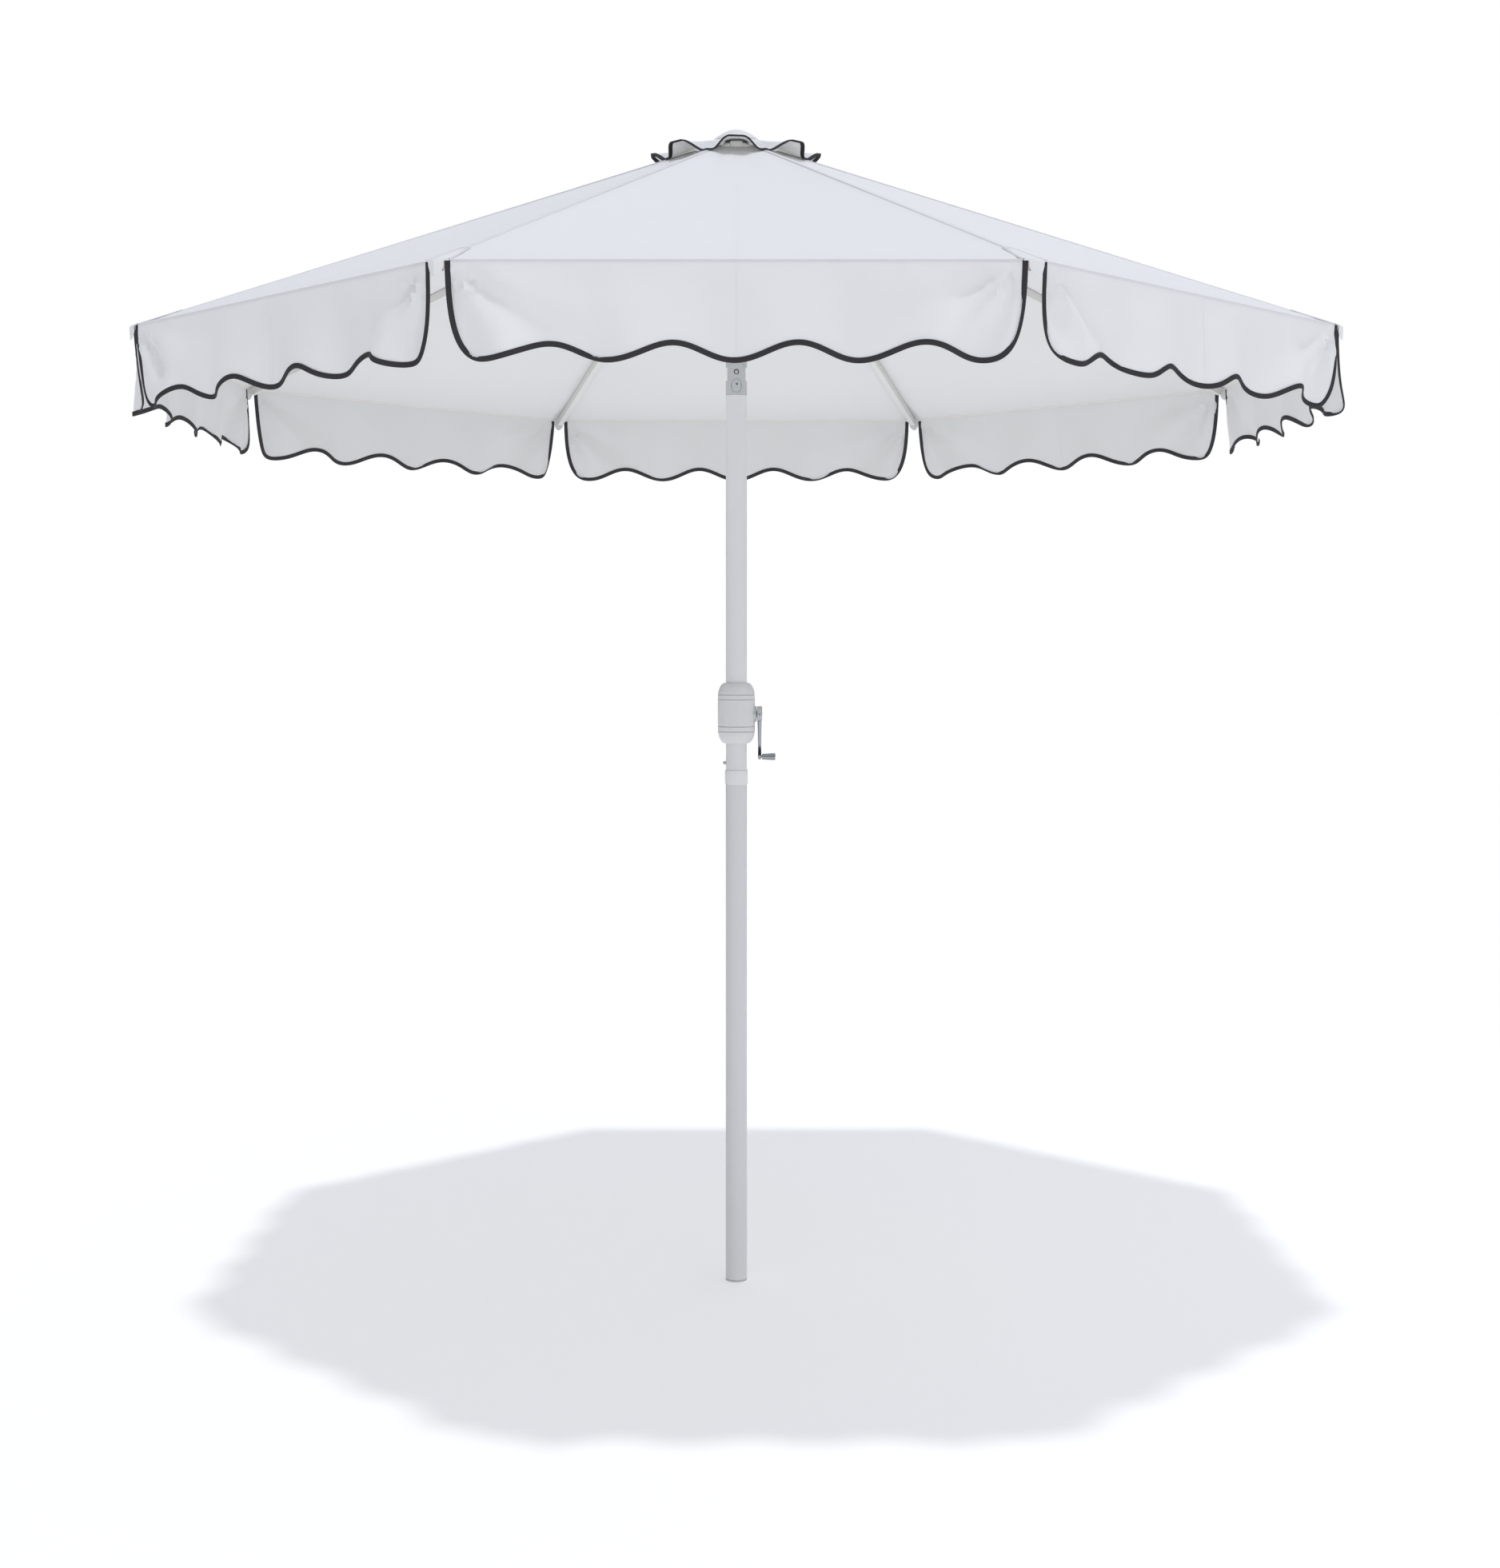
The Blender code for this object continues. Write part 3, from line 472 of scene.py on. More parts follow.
def clean_copy(node, name, bevel):
    """A merged copy of a CAD node, with its edges eased."""
    work = bmesh.new()
    work.from_mesh(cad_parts[node].data)
    bmesh.ops.remove_doubles(work, verts=work.verts, dist=1e-6)
    bmesh.ops.dissolve_limit(work, angle_limit=math.radians(0.5), verts=work.verts,
                             edges=work.edges)
    made = smoothed(name, work)
    return eased(made, bevel) if bevel else made


knuckle_base = clean_copy("tilt_knuckle_base", "tilt_knuckle_body", 0.0005)
put(knuckle_base, "pole", "zinc", cast_zinc, "tilt_knuckle_base")
knuckle_head = clean_copy("tilt_knuckle_head", "tilt_knuckle_top", 0.0005)
put(knuckle_head, "head", "zinc", cast_zinc, "tilt_knuckle_head")
push_button = clean_copy("tilt_button", "tilt_push_button", 0.0006)
put(push_button, "tilt_button", "zinc", cast_zinc, "tilt_button")
rivet = finished("tilt_axle_rivet", lathe([
    (0, -0.0250), (0.0020, -0.0248), (0.0040, -0.0240), (0.0044, -0.0233), (0.0030, -0.0230),
    (0.0030, 0.0230), (0.0044, 0.0233), (0.0040, 0.0240), (0.0020, 0.0248), (0, 0.0250),
], (0, 0, RIVET_Z), "Y", 32))
put(rivet, "pole", "steel", bright_steel, "tilt_rivet")

# A black rubber gasket seals the oval button, and black washers lie under the rivet's
# heads. A small black disc above the button's middle is painted shade, standing in for
# the shadow in a drilled dimple.
rubber = grained("black rubber", (0.035, 0.035, 0.037), (0.02, 0.02, 0.022), 0.7, 0.00005)
button_low, button_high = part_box("tilt_button")
button_z = (button_low.z + button_high.z) / 2
button_half = (button_high.x - button_low.x) / 2
oval = (button_high.z - button_low.z) / 2 / button_half
gasket_work = lathe([
    (button_half + 0.0010, 0.0), (button_half + 0.0010, 0.0016), (button_half + 0.0001, 0.0016),
    (button_half + 0.0001, 0.0),
], along="Y", steps=64)
bmesh.ops.scale(gasket_work, vec=(1, 1, oval), verts=gasket_work.verts)
bmesh.ops.translate(gasket_work, vec=(0, button_low.y + 0.0002, button_z),
                    verts=gasket_work.verts)
put(finished("tilt_button_gasket", gasket_work), "pole", "grey_plastic", rubber)
dimple_shade = finished("tilt_button_dimple_shade", lathe([
    (0, 0.0), (0.0021, 0.0), (0.0021, 0.0006), (0, 0.0006),
], (0.0015, button_low.y - 0.0001, button_z + 0.0035), "Y", 24))
put(dimple_shade, "tilt_button", "grey_plastic", rubber)
for place, start in (("front", -0.0240), ("back", 0.0232)):
    washer = finished(f"rivet_washer_{place}", lathe([
        (0.0042, start), (0.0060, start), (0.0060, start + 0.0008), (0.0042, start + 0.0008),
    ], (0, 0, RIVET_Z), "Y", 32))
    put(washer, "pole", "grey_plastic", rubber)


# ---- the mast, the hub and the pulley -------------------------------------------------
# The mast is a short tube of the pole's size on the knuckle's head. The hub on it is
# moulded, with a slot for each rib and a steel wire ring that the ribs hinge on.
mast = clean_copy("mast_tube", "mast_upper_tube", 0)
put(mast, "head", "pole_coating", lit_upper_paint, "mast_tube")
# The hub and its cap are given the collar's paler plastic to brighten them in the dim space under
# the vent cap: painted light.
hub = clean_copy("top_hub", "rib_hub", 0.0005)
put(hub, "head", "grey_plastic", collar_plastic, "top_hub")
hub_cap = clean_copy("hub_cap", "rib_hub_cap", 0.0005)
put(hub_cap, "head", "grey_plastic", collar_plastic, "hub_cap")
for node in ("hub_ring", "pulley_pin", "runner_ring"):
    dress(node, bright_steel)
pulley_wheel = clean_copy("pulley", "cord_pulley", 0.0003)
put(pulley_wheel, "pulley", "grey_plastic", moulded_grey, "pulley")


# ---- the runner -----------------------------------------------------------------------
# A moulded ring that slides on the mast. It is slotted for the struts, which hinge on a
# wire ring of its own, and the lift cord pulls it up.
runner_body = clean_copy("runner", "strut_runner", 0.0005)
put(runner_body, "runner", "grey_plastic", moulded_grey, "runner")


# ---- the lift cord --------------------------------------------------------------------
# A 2.4 mm braided polyester cord from the drum, up inside the pole and the mast, over
# the pulley and down to the runner. Its last fall lengthens as the runner goes down.
cord_braid = grained("braided cord", (0.80, 0.80, 0.78), (0.62, 0.62, 0.60), 0.80, 0.00030,
                     grain=1400.0)
for node in ("lift_cord_lower", "lift_cord_upper"):
    dress(node, cord_braid)
fall_low, fall_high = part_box("lift_cord_fall")
fall_x = (fall_low.x + fall_high.x) / 2
FALL_STEPS, CORD_SIDES = 80, 10
fall_work = bmesh.new()
fall_rows = []
for i in range(FALL_STEPS + 1):
    z = fall_high.z + (fall_low.z - fall_high.z) * i / FALL_STEPS
    strand = 0.0011 + 0.0001 * (i % 2)
    turns = [2 * math.pi * j / CORD_SIDES for j in range(CORD_SIDES)]
    fall_rows.append([
        fall_work.verts.new((fall_x + strand * math.cos(a), strand * math.sin(a), z))
        for a in turns])
cord_fall = finished("lift_cord_last_fall", skinned(fall_work, fall_rows), 60)
cord_fall.data.materials.append(cord_braid)
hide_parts("lift_cord_fall")
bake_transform(cord_fall)


# ---- ribs and struts ------------------------------------------------------------------
# Box-section steel ribs and channel-section struts under a paler coat than the pole's.
# Each rib hinges on the hub's ring and carries a strut in two welded ears.
rib_paint = grained("rib powder coat", (0.80, 0.79, 0.76), (0.74, 0.73, 0.70), 0.42, 0.00012)
SIDES = 8
HALF_TURN = math.pi / SIDES
for k in range(1, SIDES + 1):
    for node in (f"rib_{k}", f"strut_{k}"):
        dress(node, rib_paint)


# ---- the roof -------------------------------------------------------------------------
# White woven polyester, cut as eight gores and felled together along the ribs. Each rib
# carries the half of each gore beside it, and the halves meet along the gore's middle.
TIP_R, TIP_Z, APEX_Z = 1.320, 2.076, 2.5785
APOTHEM = TIP_R * math.cos(HALF_TURN)
GORE_SLOPE = math.atan2(APEX_Z - TIP_Z, APOTHEM)
RIB_SLOPE = math.atan2(APEX_Z - TIP_Z, TIP_R)
CLOTH = 0.0007
SPREAD = math.tan(HALF_TURN) * math.cos(GORE_SLOPE)     # half width of a gore per length
ROOF_TOP = 0.100 * math.cos(HALF_TURN) / math.cos(GORE_SLOPE)
ROOF_END = APOTHEM / math.cos(GORE_SLOPE)


def weave_group():
    """Plain weave: two sets of threads over and under each other, in metres of cloth."""
    tree, entry, leave = node_group("plain weave", "ShaderNodeTree", (
        ("Cloth", "Vector", None), ("Threads per Metre", "Float", 2600.0),
        ("Slub", "Float", 0.35), ("Light Colour", "Color", None),
        ("Dark Colour", "Color", None),
    ), (("Colour", "Color"), ("Height", "Float")))
    grown = tree.nodes.new("ShaderNodeVectorMath")
    grown.operation = "SCALE"
    feed(tree, grown.inputs[0], entry["Cloth"])
    feed(tree, grown.inputs["Scale"], entry["Threads per Metre"])
    axes = tree.nodes.new("ShaderNodeSeparateXYZ")
    feed(tree, axes.inputs[0], grown.outputs[0])
    waves = [maths(tree, "SINE", axes.outputs[label]) for label in ("X", "Y")]
    slubs = maths(tree, "MULTIPLY", noise(tree, entry["Cloth"], 60.0, 5.0), entry["Slub"])
    height = maths(tree, "MULTIPLY_ADD", maths(tree, "MULTIPLY", *waves), 0.5, slubs)
    patches = noise(tree, entry["Cloth"], 3.5, 3.0)
    colour = mixed_colour(tree, patches, entry["Dark Colour"], entry["Light Colour"])
    for label, value in (("Colour", colour), ("Height", height)):
        tree.links.new(value, leave[label])
    return tree


plain_weave = weave_group()


def woven(name, light, dark, threads, relief, sheen=0.0, roughness=0.85, through=0.0):
    """A woven finish on the piece's own cloth coordinates, which may let light through."""
    made, shader, group = textured(name, plain_weave, {
        "Threads per Metre": threads, "Light Colour": (*light, 1), "Dark Colour": (*dark, 1)},
        0.35, relief)
    preset(shader, {
        "Roughness": roughness, "Sheen Weight": sheen, "Specular IOR Level": 0.2,
        "Subsurface Weight": through, "Subsurface Radius": (1.0, 1.0, 0.9),
        "Subsurface Scale": 0.004})
    cloth = made.node_tree.nodes.new("ShaderNodeUVMap")
    cloth.uv_map = "cloth"
    made.node_tree.links.new(cloth.outputs["UV"], group.inputs["Cloth"])
    return made


white_cloth = woven("white polyester", (0.84, 0.84, 0.845), (0.81, 0.81, 0.82), 2600.0, 0.00012,
                    sheen=0.1, through=0.4)
# The cloth's inside face is a darker, warmer copy of the outside's white: painted shade, for the
# shade under the canopy.
shaded_inner_cloth = woven("polyester inside painted shade", (0.74, 0.735, 0.725), (0.71, 0.705, 0.695), 2600.0,
                    0.00012, through=0.4)


def sheet_piece(name, points, across, down):
    """A grid of points as a sheet, with cloth coordinates in metres."""
    work = bmesh.new()
    rows = [[work.verts.new(point) for point in row] for row in points]
    layer = work.loops.layers.uv.new("cloth")
    for i in range(len(rows) - 1):
        for j in range(len(rows[0]) - 1):
            corners = ((i, j), (i + 1, j), (i + 1, j + 1), (i, j + 1))
            face = work.faces.new([rows[a][b] for a, b in corners])
            for loop, (a, b) in zip(face.loops, corners):
                loop[layer].uv = (across[a][b], down[a][b])
    mesh = bpy.data.meshes.new(name)
    work.to_mesh(mesh)
    work.free()
    mesh.shade_smooth()
    return placed(name, mesh)


def facing(piece, outward):
    """Turn the sheet over if its faces point away from outward, on the whole."""
    total = sum((f.normal * f.area for f in piece.data.polygons), Vector())
    if total.dot(outward) < 0:
        piece.data.flip_normals()
    return piece


def thick(piece, thickness, offset=-1.0, outer=white_cloth, inner=shaded_inner_cloth):
    """Give the sheet its thickness, crisp edges, and a finish for each face."""
    piece.data.materials.append(outer)
    piece.data.materials.append(inner)
    skin = piece.modifiers.new("thickness", "SOLIDIFY")
    skin.thickness = thickness
    skin.offset = offset
    skin.material_offset = 1
    split = piece.modifiers.new("crisp edges", "EDGE_SPLIT")
    split.split_angle = math.radians(40)
    return piece


def gore_axes(k):
    """Down the slope, across and out of gore k, which lies between ribs k and k + 1."""
    middle = 2 * HALF_TURN * k
    down = Vector((math.cos(middle) * math.cos(GORE_SLOPE),
                   math.sin(middle) * math.cos(GORE_SLOPE), -math.sin(GORE_SLOPE)))
    over = Vector((-math.sin(middle), math.cos(middle), 0))
    out = down.cross(over)
    return down, over, out * -1 if out.z < 0 else out


def smooth_step(value, low, high):
    """0 below low, 1 above high, smooth between."""
    share = min(1.0, max(0.0, (value - low) / (high - low)))
    return share * share * (3 - 2 * share)


def corner_folds(along, over, k, size, reach):
    """Soft folds that fan out of the two lower corners of gore k."""
    total = 0.0
    for side in (-1, 1):
        drop, inward = ROOF_END - along, ROOF_END * SPREAD - side * over
        distance = math.hypot(drop, inward)
        if distance < 1e-6:
            continue
        turn = math.atan2(inward, drop)
        first = math.atan(SPREAD)
        share = (turn - first) / (math.pi / 2 - first)
        window = math.sin(math.pi * min(1.0, max(0.0, share)))
        total += (size * window * math.sin(11 * turn + 1.7 * k + side)
                  * math.exp(-distance / reach) * smooth_step(distance, 0.0, 0.08))
    return total


def roof_point(k, along, over):
    """A point of gore k: along the slope from the apex, and over from its middle."""
    down, across, out = gore_axes(k)
    width = max(along * SPREAD, 1e-6)
    share = over / width
    length = (along - ROOF_TOP) / (ROOF_END - ROOF_TOP)
    sag = -0.0075 * (1 - share ** 2) * math.sin(math.pi * min(1.0, 0.12 + 0.88 * length))
    top_folds = (0.0011 * math.cos(10 * share + 1.3 * k) * (1 - share ** 2)
                 * smooth_step(along, 0.12, 0.2) * (1 - smooth_step(along, 0.3, 0.75)))
    folds = corner_folds(along, over, k, 0.0016, 0.20)
    lift = sag + top_folds + folds
    return Vector((0, 0, APEX_Z)) + down * along + across * over + out * lift


def rib_of(k, side):
    """The rib beside gore k: its own number, or the next one round."""
    return k if side < 0 else k % SIDES + 1


def ridge_frame(n):
    """The apex, the way down rib n, and the rib's azimuth."""
    azimuth = HALF_TURN + 2 * HALF_TURN * (n - 1)
    along = Vector((math.cos(azimuth) * math.cos(RIB_SLOPE),
                    math.sin(azimuth) * math.cos(RIB_SLOPE), -math.sin(RIB_SLOPE)))
    return Vector((0, 0, APEX_Z)), along, azimuth


def fold_to_rib(piece, k, side):
    """Hang a piece of gore k on its rib, with a mesh of its own."""
    apex, ridge = ridge_frame(rib_of(k, side))[:2]
    inward = gore_axes(k)[1] * -side
    inward = (inward - ridge * inward.dot(ridge)).normalized()
    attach(piece, f"rib_{rib_of(k, side)}")
    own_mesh(piece)


ROWS, COLUMNS = 64, 16
for k in range(1, SIDES + 1):
    for side, label in ((-1, "a"), (1, "b")):
        grid, across_m, down_m = [], [], []
        for i in range(ROWS + 1):
            along = ROOF_TOP + (ROOF_END - ROOF_TOP) * i / ROWS
            overs = [side * along * SPREAD * j / COLUMNS for j in range(COLUMNS + 1)]
            grid.append([roof_point(k, along, over) for over in overs])
            across_m.append(overs)
            down_m.append([along] * (COLUMNS + 1))
        half = sheet_piece(f"roof_{k}{label}", grid, across_m, down_m)
        thick(facing(half, gore_axes(k)[2]), CLOTH)
        nodes = (f"canopy_panel_{k}",) if side < 0 else ()
        if nodes:
            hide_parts(*nodes)
        fold_to_rib(half, k, side)


# ---- stitches -------------------------------------------------------------------------
# Lockstitches of polyester thread, white on the white cloth and dark on the binding. One
# tree lays them along any path of a seam.
def stitch_tree():
    """A stitch on every step of a curve, turned along it."""
    tree, entry, leave = node_group("stitches", "GeometryNodeTree", (
        ("Path", "Geometry", None), ("Pitch", "Float", 0.005),
        ("Stitch Length", "Float", 0.0034), ("Thread", "Float", 0.0005),
        ("Finish", "Material", None),
    ), (("Stitches", "Geometry"),))
    nodes, link = tree.nodes, tree.links.new
    spaced = nodes.new("GeometryNodeResampleCurve")
    spaced.mode = "LENGTH"
    link(entry["Path"], spaced.inputs["Curve"])
    link(entry["Pitch"], spaced.inputs["Length"])
    thread = nodes.new("GeometryNodeMeshCylinder")
    thread.inputs["Vertices"].default_value = 5
    link(entry["Thread"], thread.inputs["Radius"])
    link(entry["Stitch Length"], thread.inputs["Depth"])
    turned = nodes.new("FunctionNodeAlignRotationToVector")
    turned.axis = "Z"
    link(nodes.new("GeometryNodeInputTangent").outputs[0], turned.inputs["Vector"])
    laid = nodes.new("GeometryNodeInstanceOnPoints")
    link(spaced.outputs["Curve"], laid.inputs["Points"])
    link(thread.outputs["Mesh"], laid.inputs["Instance"])
    link(turned.outputs[0], laid.inputs["Rotation"])
    real = nodes.new("GeometryNodeRealizeInstances")
    link(laid.outputs[0], real.inputs[0])
    dressed = nodes.new("GeometryNodeSetMaterial")
    link(real.outputs[0], dressed.inputs["Geometry"])
    link(entry["Finish"], dressed.inputs["Material"])
    link(dressed.outputs[0], leave["Stitches"])
    return tree


stitches = stitch_tree()
white_thread = grained("white thread", (0.80, 0.80, 0.79), (0.70, 0.70, 0.69), 0.7, 0.00005,
                       grain=3000.0)
black_thread = grained("dark thread", (0.05, 0.05, 0.055), (0.03, 0.03, 0.033), 0.6, 0.00005,
                       grain=3000.0)


def sewn(name, paths, finish, pitch=0.005, stitch=0.0034, thread=0.00035):
    """Stitches along one or more open paths, as one plain mesh."""
    curve = bpy.data.curves.new(name, "CURVE")
    curve.dimensions = "3D"
    for path in paths:
        line = curve.splines.new("POLY")
        line.points.add(len(path) - 1)
        for point, place in zip(line.points, path):
            point.co = (*place, 1)
    guide = placed(name + "_guide", curve)
    layer = guide.modifiers.new("stitches", "NODES")
    layer.node_group = stitches
    values = {"Pitch": pitch, "Stitch Length": stitch, "Thread": thread, "Finish": finish}
    for item in stitches.interface.items_tree:
        if item.in_out == "INPUT" and item.name in values:
            layer[item.identifier] = values[item.name]
    bpy.context.view_layer.update()
    mesh = bpy.data.meshes.new_from_object(
        guide.evaluated_get(bpy.context.evaluated_depsgraph_get()))
    bpy.data.objects.remove(guide, do_unlink=True)
    mesh.name = name
    mesh.shade_smooth()
    made = placed(name, mesh)
    return made


# ---- ridge seams and rib pockets ------------------------------------------------------
# A felled seam runs down every rib with a stitch line on each side of it. At the rib's
# tip a doubled patch makes the pocket that the rib pushes into, with a tongue below it.
UP = Vector((0, 0, 1))


def beside_ridge(n, length, offset, proud):
    """A point near rib n's ridge: down it, to one side on the cloth, and off the cloth."""
    apex, ridge = ridge_frame(n)[:2]
    side = 1 if offset >= 0 else -1
    gore = n if side > 0 else (n - 2) % SIDES + 1
    across, out = gore_axes(gore)[1:]
    away = across * side
    away = (away - ridge * away.dot(ridge)).normalized()
    crown = (UP - ridge * UP.dot(ridge)).normalized()
    rounded = out.lerp(crown, max(0.0, 1 - abs(offset) / 0.004)).normalized()
    return apex + ridge * length + away * abs(offset) + rounded * proud


RIDGE_TOP = 0.100 / math.cos(RIB_SLOPE)
RIDGE_END = TIP_R / math.cos(RIB_SLOPE)
pocket_cloth = woven("pocket cloth", (0.88, 0.88, 0.88), (0.85, 0.85, 0.855), 2600.0, 0.00012,
                     sheen=0.1)
SEAM_ROWS, POCKET_ROWS, TONGUE_ROWS = 60, 14, 8
POCKET_LENGTH, TONGUE_DROP, POCKET_HALF = 0.105, 0.030, 0.0240
offsets = (-0.0062, -0.0060, -0.0030, 0.0, 0.0030, 0.0060, 0.0062)
prouds = (-0.0002, 0.0008, 0.0010, 0.0010, 0.0010, 0.0008, -0.0002)
shares = [-1 + 2 * j / 8 for j in range(9)]             # places across a pocket
for n in range(1, SIDES + 1):
    azimuth = ridge_frame(n)[2]
    grid, across_m, down_m = [], [], []
    for i in range(SEAM_ROWS + 1):
        length = RIDGE_TOP + (RIDGE_END - 0.002 - RIDGE_TOP) * i / SEAM_ROWS
        grid.append([beside_ridge(n, length, o, p) for o, p in zip(offsets, prouds)])
        across_m.append(list(offsets))
        down_m.append([length] * len(offsets))
    seam = sheet_piece(f"ridge_seam_{n}", grid, across_m, down_m)
    facing(seam, UP)
    seam.data.materials.append(white_cloth)
    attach(seam, f"rib_{n}")
    lines = [[beside_ridge(n, RIDGE_TOP + 0.08 + (RIDGE_END - RIDGE_TOP - 0.16) * i / 40, o,
                           0.0009) for i in range(41)] for o in (-0.0045, 0.0045)]
    thread = sewn(f"ridge_stitches_{n}", lines, white_thread)
    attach(thread, f"rib_{n}")

    # the pocket's patch, then its tongue over the tip
    grid, across_m, down_m = [], [], []
    for i in range(POCKET_ROWS + 1):
        length = RIDGE_END - POCKET_LENGTH + POCKET_LENGTH * i / POCKET_ROWS
        width = 0.0125 + 0.0115 * smooth_step(i / POCKET_ROWS, 0.0, 0.9)
        row = [q * width for q in shares]
        grid.append([beside_ridge(n, length, o, 0.0017) for o in row])
        across_m.append(row)
        down_m.append([length] * len(shares))
    pocket = sheet_piece(f"rib_pocket_{n}", grid, across_m, down_m)
    thick(facing(pocket, UP), 0.0012, outer=pocket_cloth)
    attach(pocket, f"rib_{n}")

    radial = Vector((math.cos(azimuth), math.sin(azimuth), 0))
    tip = radial * (TIP_R + 0.0055) + Vector((0, 0, TIP_Z + 0.001))
    grid, across_m, down_m = [grid[-1]], [across_m[-1]], [down_m[-1]]
    for i in range(1, TONGUE_ROWS + 1):
        fall = i / TONGUE_ROWS
        row = []
        for q in shares:
            turn = azimuth + math.pi / 2 + (HALF_TURN if q > 0 else -HALF_TURN)
            way = Vector((math.cos(turn), math.sin(turn), 0)) * q
            depth = TONGUE_DROP * math.sqrt(max(0.0, 1 - 0.86 * q * q)) * fall
            tuck = 0.0015 * fall ** 2
            width = POCKET_HALF - 0.0080 * smooth_step(fall, 0.0, 0.4)
            row.append(tip + way * width - radial * tuck - Vector((0, 0, depth)))
        grid.append(row)
        across_m.append([q * POCKET_HALF for q in shares])
        down_m.append([RIDGE_END + TONGUE_DROP * i / TONGUE_ROWS] * len(shares))
    tongue = sheet_piece(f"pocket_tongue_{n}", grid, across_m, down_m)
    thick(facing(tongue, radial), 0.0012, outer=pocket_cloth)
    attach(tongue, f"valance_{n}")

    edge = [[beside_ridge(n, RIDGE_END - 0.102 + 0.096 * i / POCKET_ROWS,
                          side * (0.0100 + 0.0115 * smooth_step(i / POCKET_ROWS, 0.0, 0.9)),
                          0.0021)
             for i in range(POCKET_ROWS + 1)] for side in (-1, 1)]
    bar = [[beside_ridge(n, RIDGE_END - row, o * 0.001, 0.0021) for o in range(-10, 11, 2)]
           for row in (0.102, 0.094)]
    thread = sewn(f"pocket_stitches_{n}", edge + bar, white_thread, pitch=0.0035, stitch=0.0026)
    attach(thread, f"rib_{n}")


# ---- the valance ----------------------------------------------------------------------
# Eight flaps of the roof's cloth sewn to its rim, open at the corners, each with four
# arches between five lobes. Rib tips carry them, so each flap is made as two halves.
FLAP_TOP_HALF, FLAP_PITCH, FLAP_DROP, FLAP_WAVE = 0.4890, 0.2085, 0.1595, 0.0135
LOBE_HALF = 2 * FLAP_PITCH
FLAP_ROWS, FLAP_COLUMNS = 18, 48
TAPE_W, TAPE_SEAM = 0.0090, 0.0072
valance_side = ((FLAP_TOP_HALF, 0.0), (FLAP_TOP_HALF - 0.001, 0.118),
                (LOBE_HALF + 0.056, FLAP_DROP + FLAP_WAVE), (LOBE_HALF, FLAP_DROP + FLAP_WAVE))


def side_edge(v):
    """The flap's side, from the rim down to its outer lobe."""
    weights = ((1 - v) ** 3, 3 * v * (1 - v) ** 2, 3 * v * v * (1 - v), v ** 3)
    return Vector((sum(w * p[0] for w, p in zip(weights, valance_side)),
                   sum(w * p[1] for w, p in zip(weights, valance_side))))


def low_edge(u):
    """The scalloped edge, from the flap's middle out to its outer lobe."""
    x = u * LOBE_HALF
    wave = math.cos(2 * math.pi * x / FLAP_PITCH)
    return Vector((x, FLAP_DROP + FLAP_WAVE * (wave + 0.08 * (1 - wave * wave))))


def flap_place(u, v):
    """(over, drop) on half a flap: u out from the middle, v down from the rim."""
    top = Vector((u * FLAP_TOP_HALF, 0.0))
    middle = Vector((0.0, v * low_edge(0).y))
    corners = (top * 0, Vector((FLAP_TOP_HALF, 0)), low_edge(0), low_edge(1))
    blended = (corners[0] * (1 - u) * (1 - v) + corners[1] * u * (1 - v)
               + corners[2] * (1 - u) * v + corners[3] * u * v)
    return (top * (1 - v) + low_edge(u) * v + middle * (1 - u) + side_edge(v) * u - blended)


def flap_point(k, side, place, proud=0.0):
    """A point of flap k from its place on the cloth, hung with soft folds."""
    middle = 2 * HALF_TURN * k
    out = Vector((math.cos(middle), math.sin(middle), 0))
    across = Vector((-math.sin(middle), math.cos(middle), 0))
    over, drop = side * place[0], place[1]
    v = drop / FLAP_DROP
    shelf = abs(over) / FLAP_TOP_HALF
    folds = 0.0135 * v ** 1.3 * math.sin(2 * math.pi * over / 0.236 + 0.9 * k)
    folds += 0.0060 * v * math.sin(2 * math.pi * over / 0.104 + 2.1 * k) * shelf
    for end in (-1, 1):
        reach = math.hypot(FLAP_TOP_HALF - end * over, drop)
        turn = math.atan2(drop, FLAP_TOP_HALF - end * over)
        folds += (0.0150 * math.sin(2 * turn) * math.sin(9 * turn + k + end)
                  * math.exp(-reach / 0.20) * smooth_step(reach, 0.0, 0.06))
    hang = 0.0045 * v ** 2 - 0.0060 * v * shelf ** 8 + folds * smooth_step(v, 0.0, 0.35)
    base = out * (APOTHEM + 0.0011 + hang + proud) + across * over
    return base + Vector((0, 0, TIP_Z + 0.0012 - drop))


def fold_to_corner(piece, k, side):
    """Hang half a flap on the valance that its rib's tip carries, with a mesh of its own."""
    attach(piece, f"valance_{rib_of(k, side)}")
    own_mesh(piece)


dark_tape = woven("dark binding", (0.050, 0.047, 0.052), (0.038, 0.036, 0.040), 1800.0,
                  0.00020, roughness=0.75)
# The hem is painted lighter and warmer than the canopy's inside: painted light that hides the
# shade along its edge.
lightened_hem_cloth = woven("hem cloth painted light", (0.86, 0.84, 0.78), (0.83, 0.81, 0.75), 2600.0, 0.00012)
TAPE_SECTION = ((TAPE_W, 0.0009), (TAPE_W - 0.0006, 0.0014), (0.0010, 0.0014),
                (-0.0007, 0.0007), (-0.0007, -0.0007), (0.0010, -0.0014),
                (TAPE_W - 0.0006, -0.0014), (TAPE_W, -0.0009))


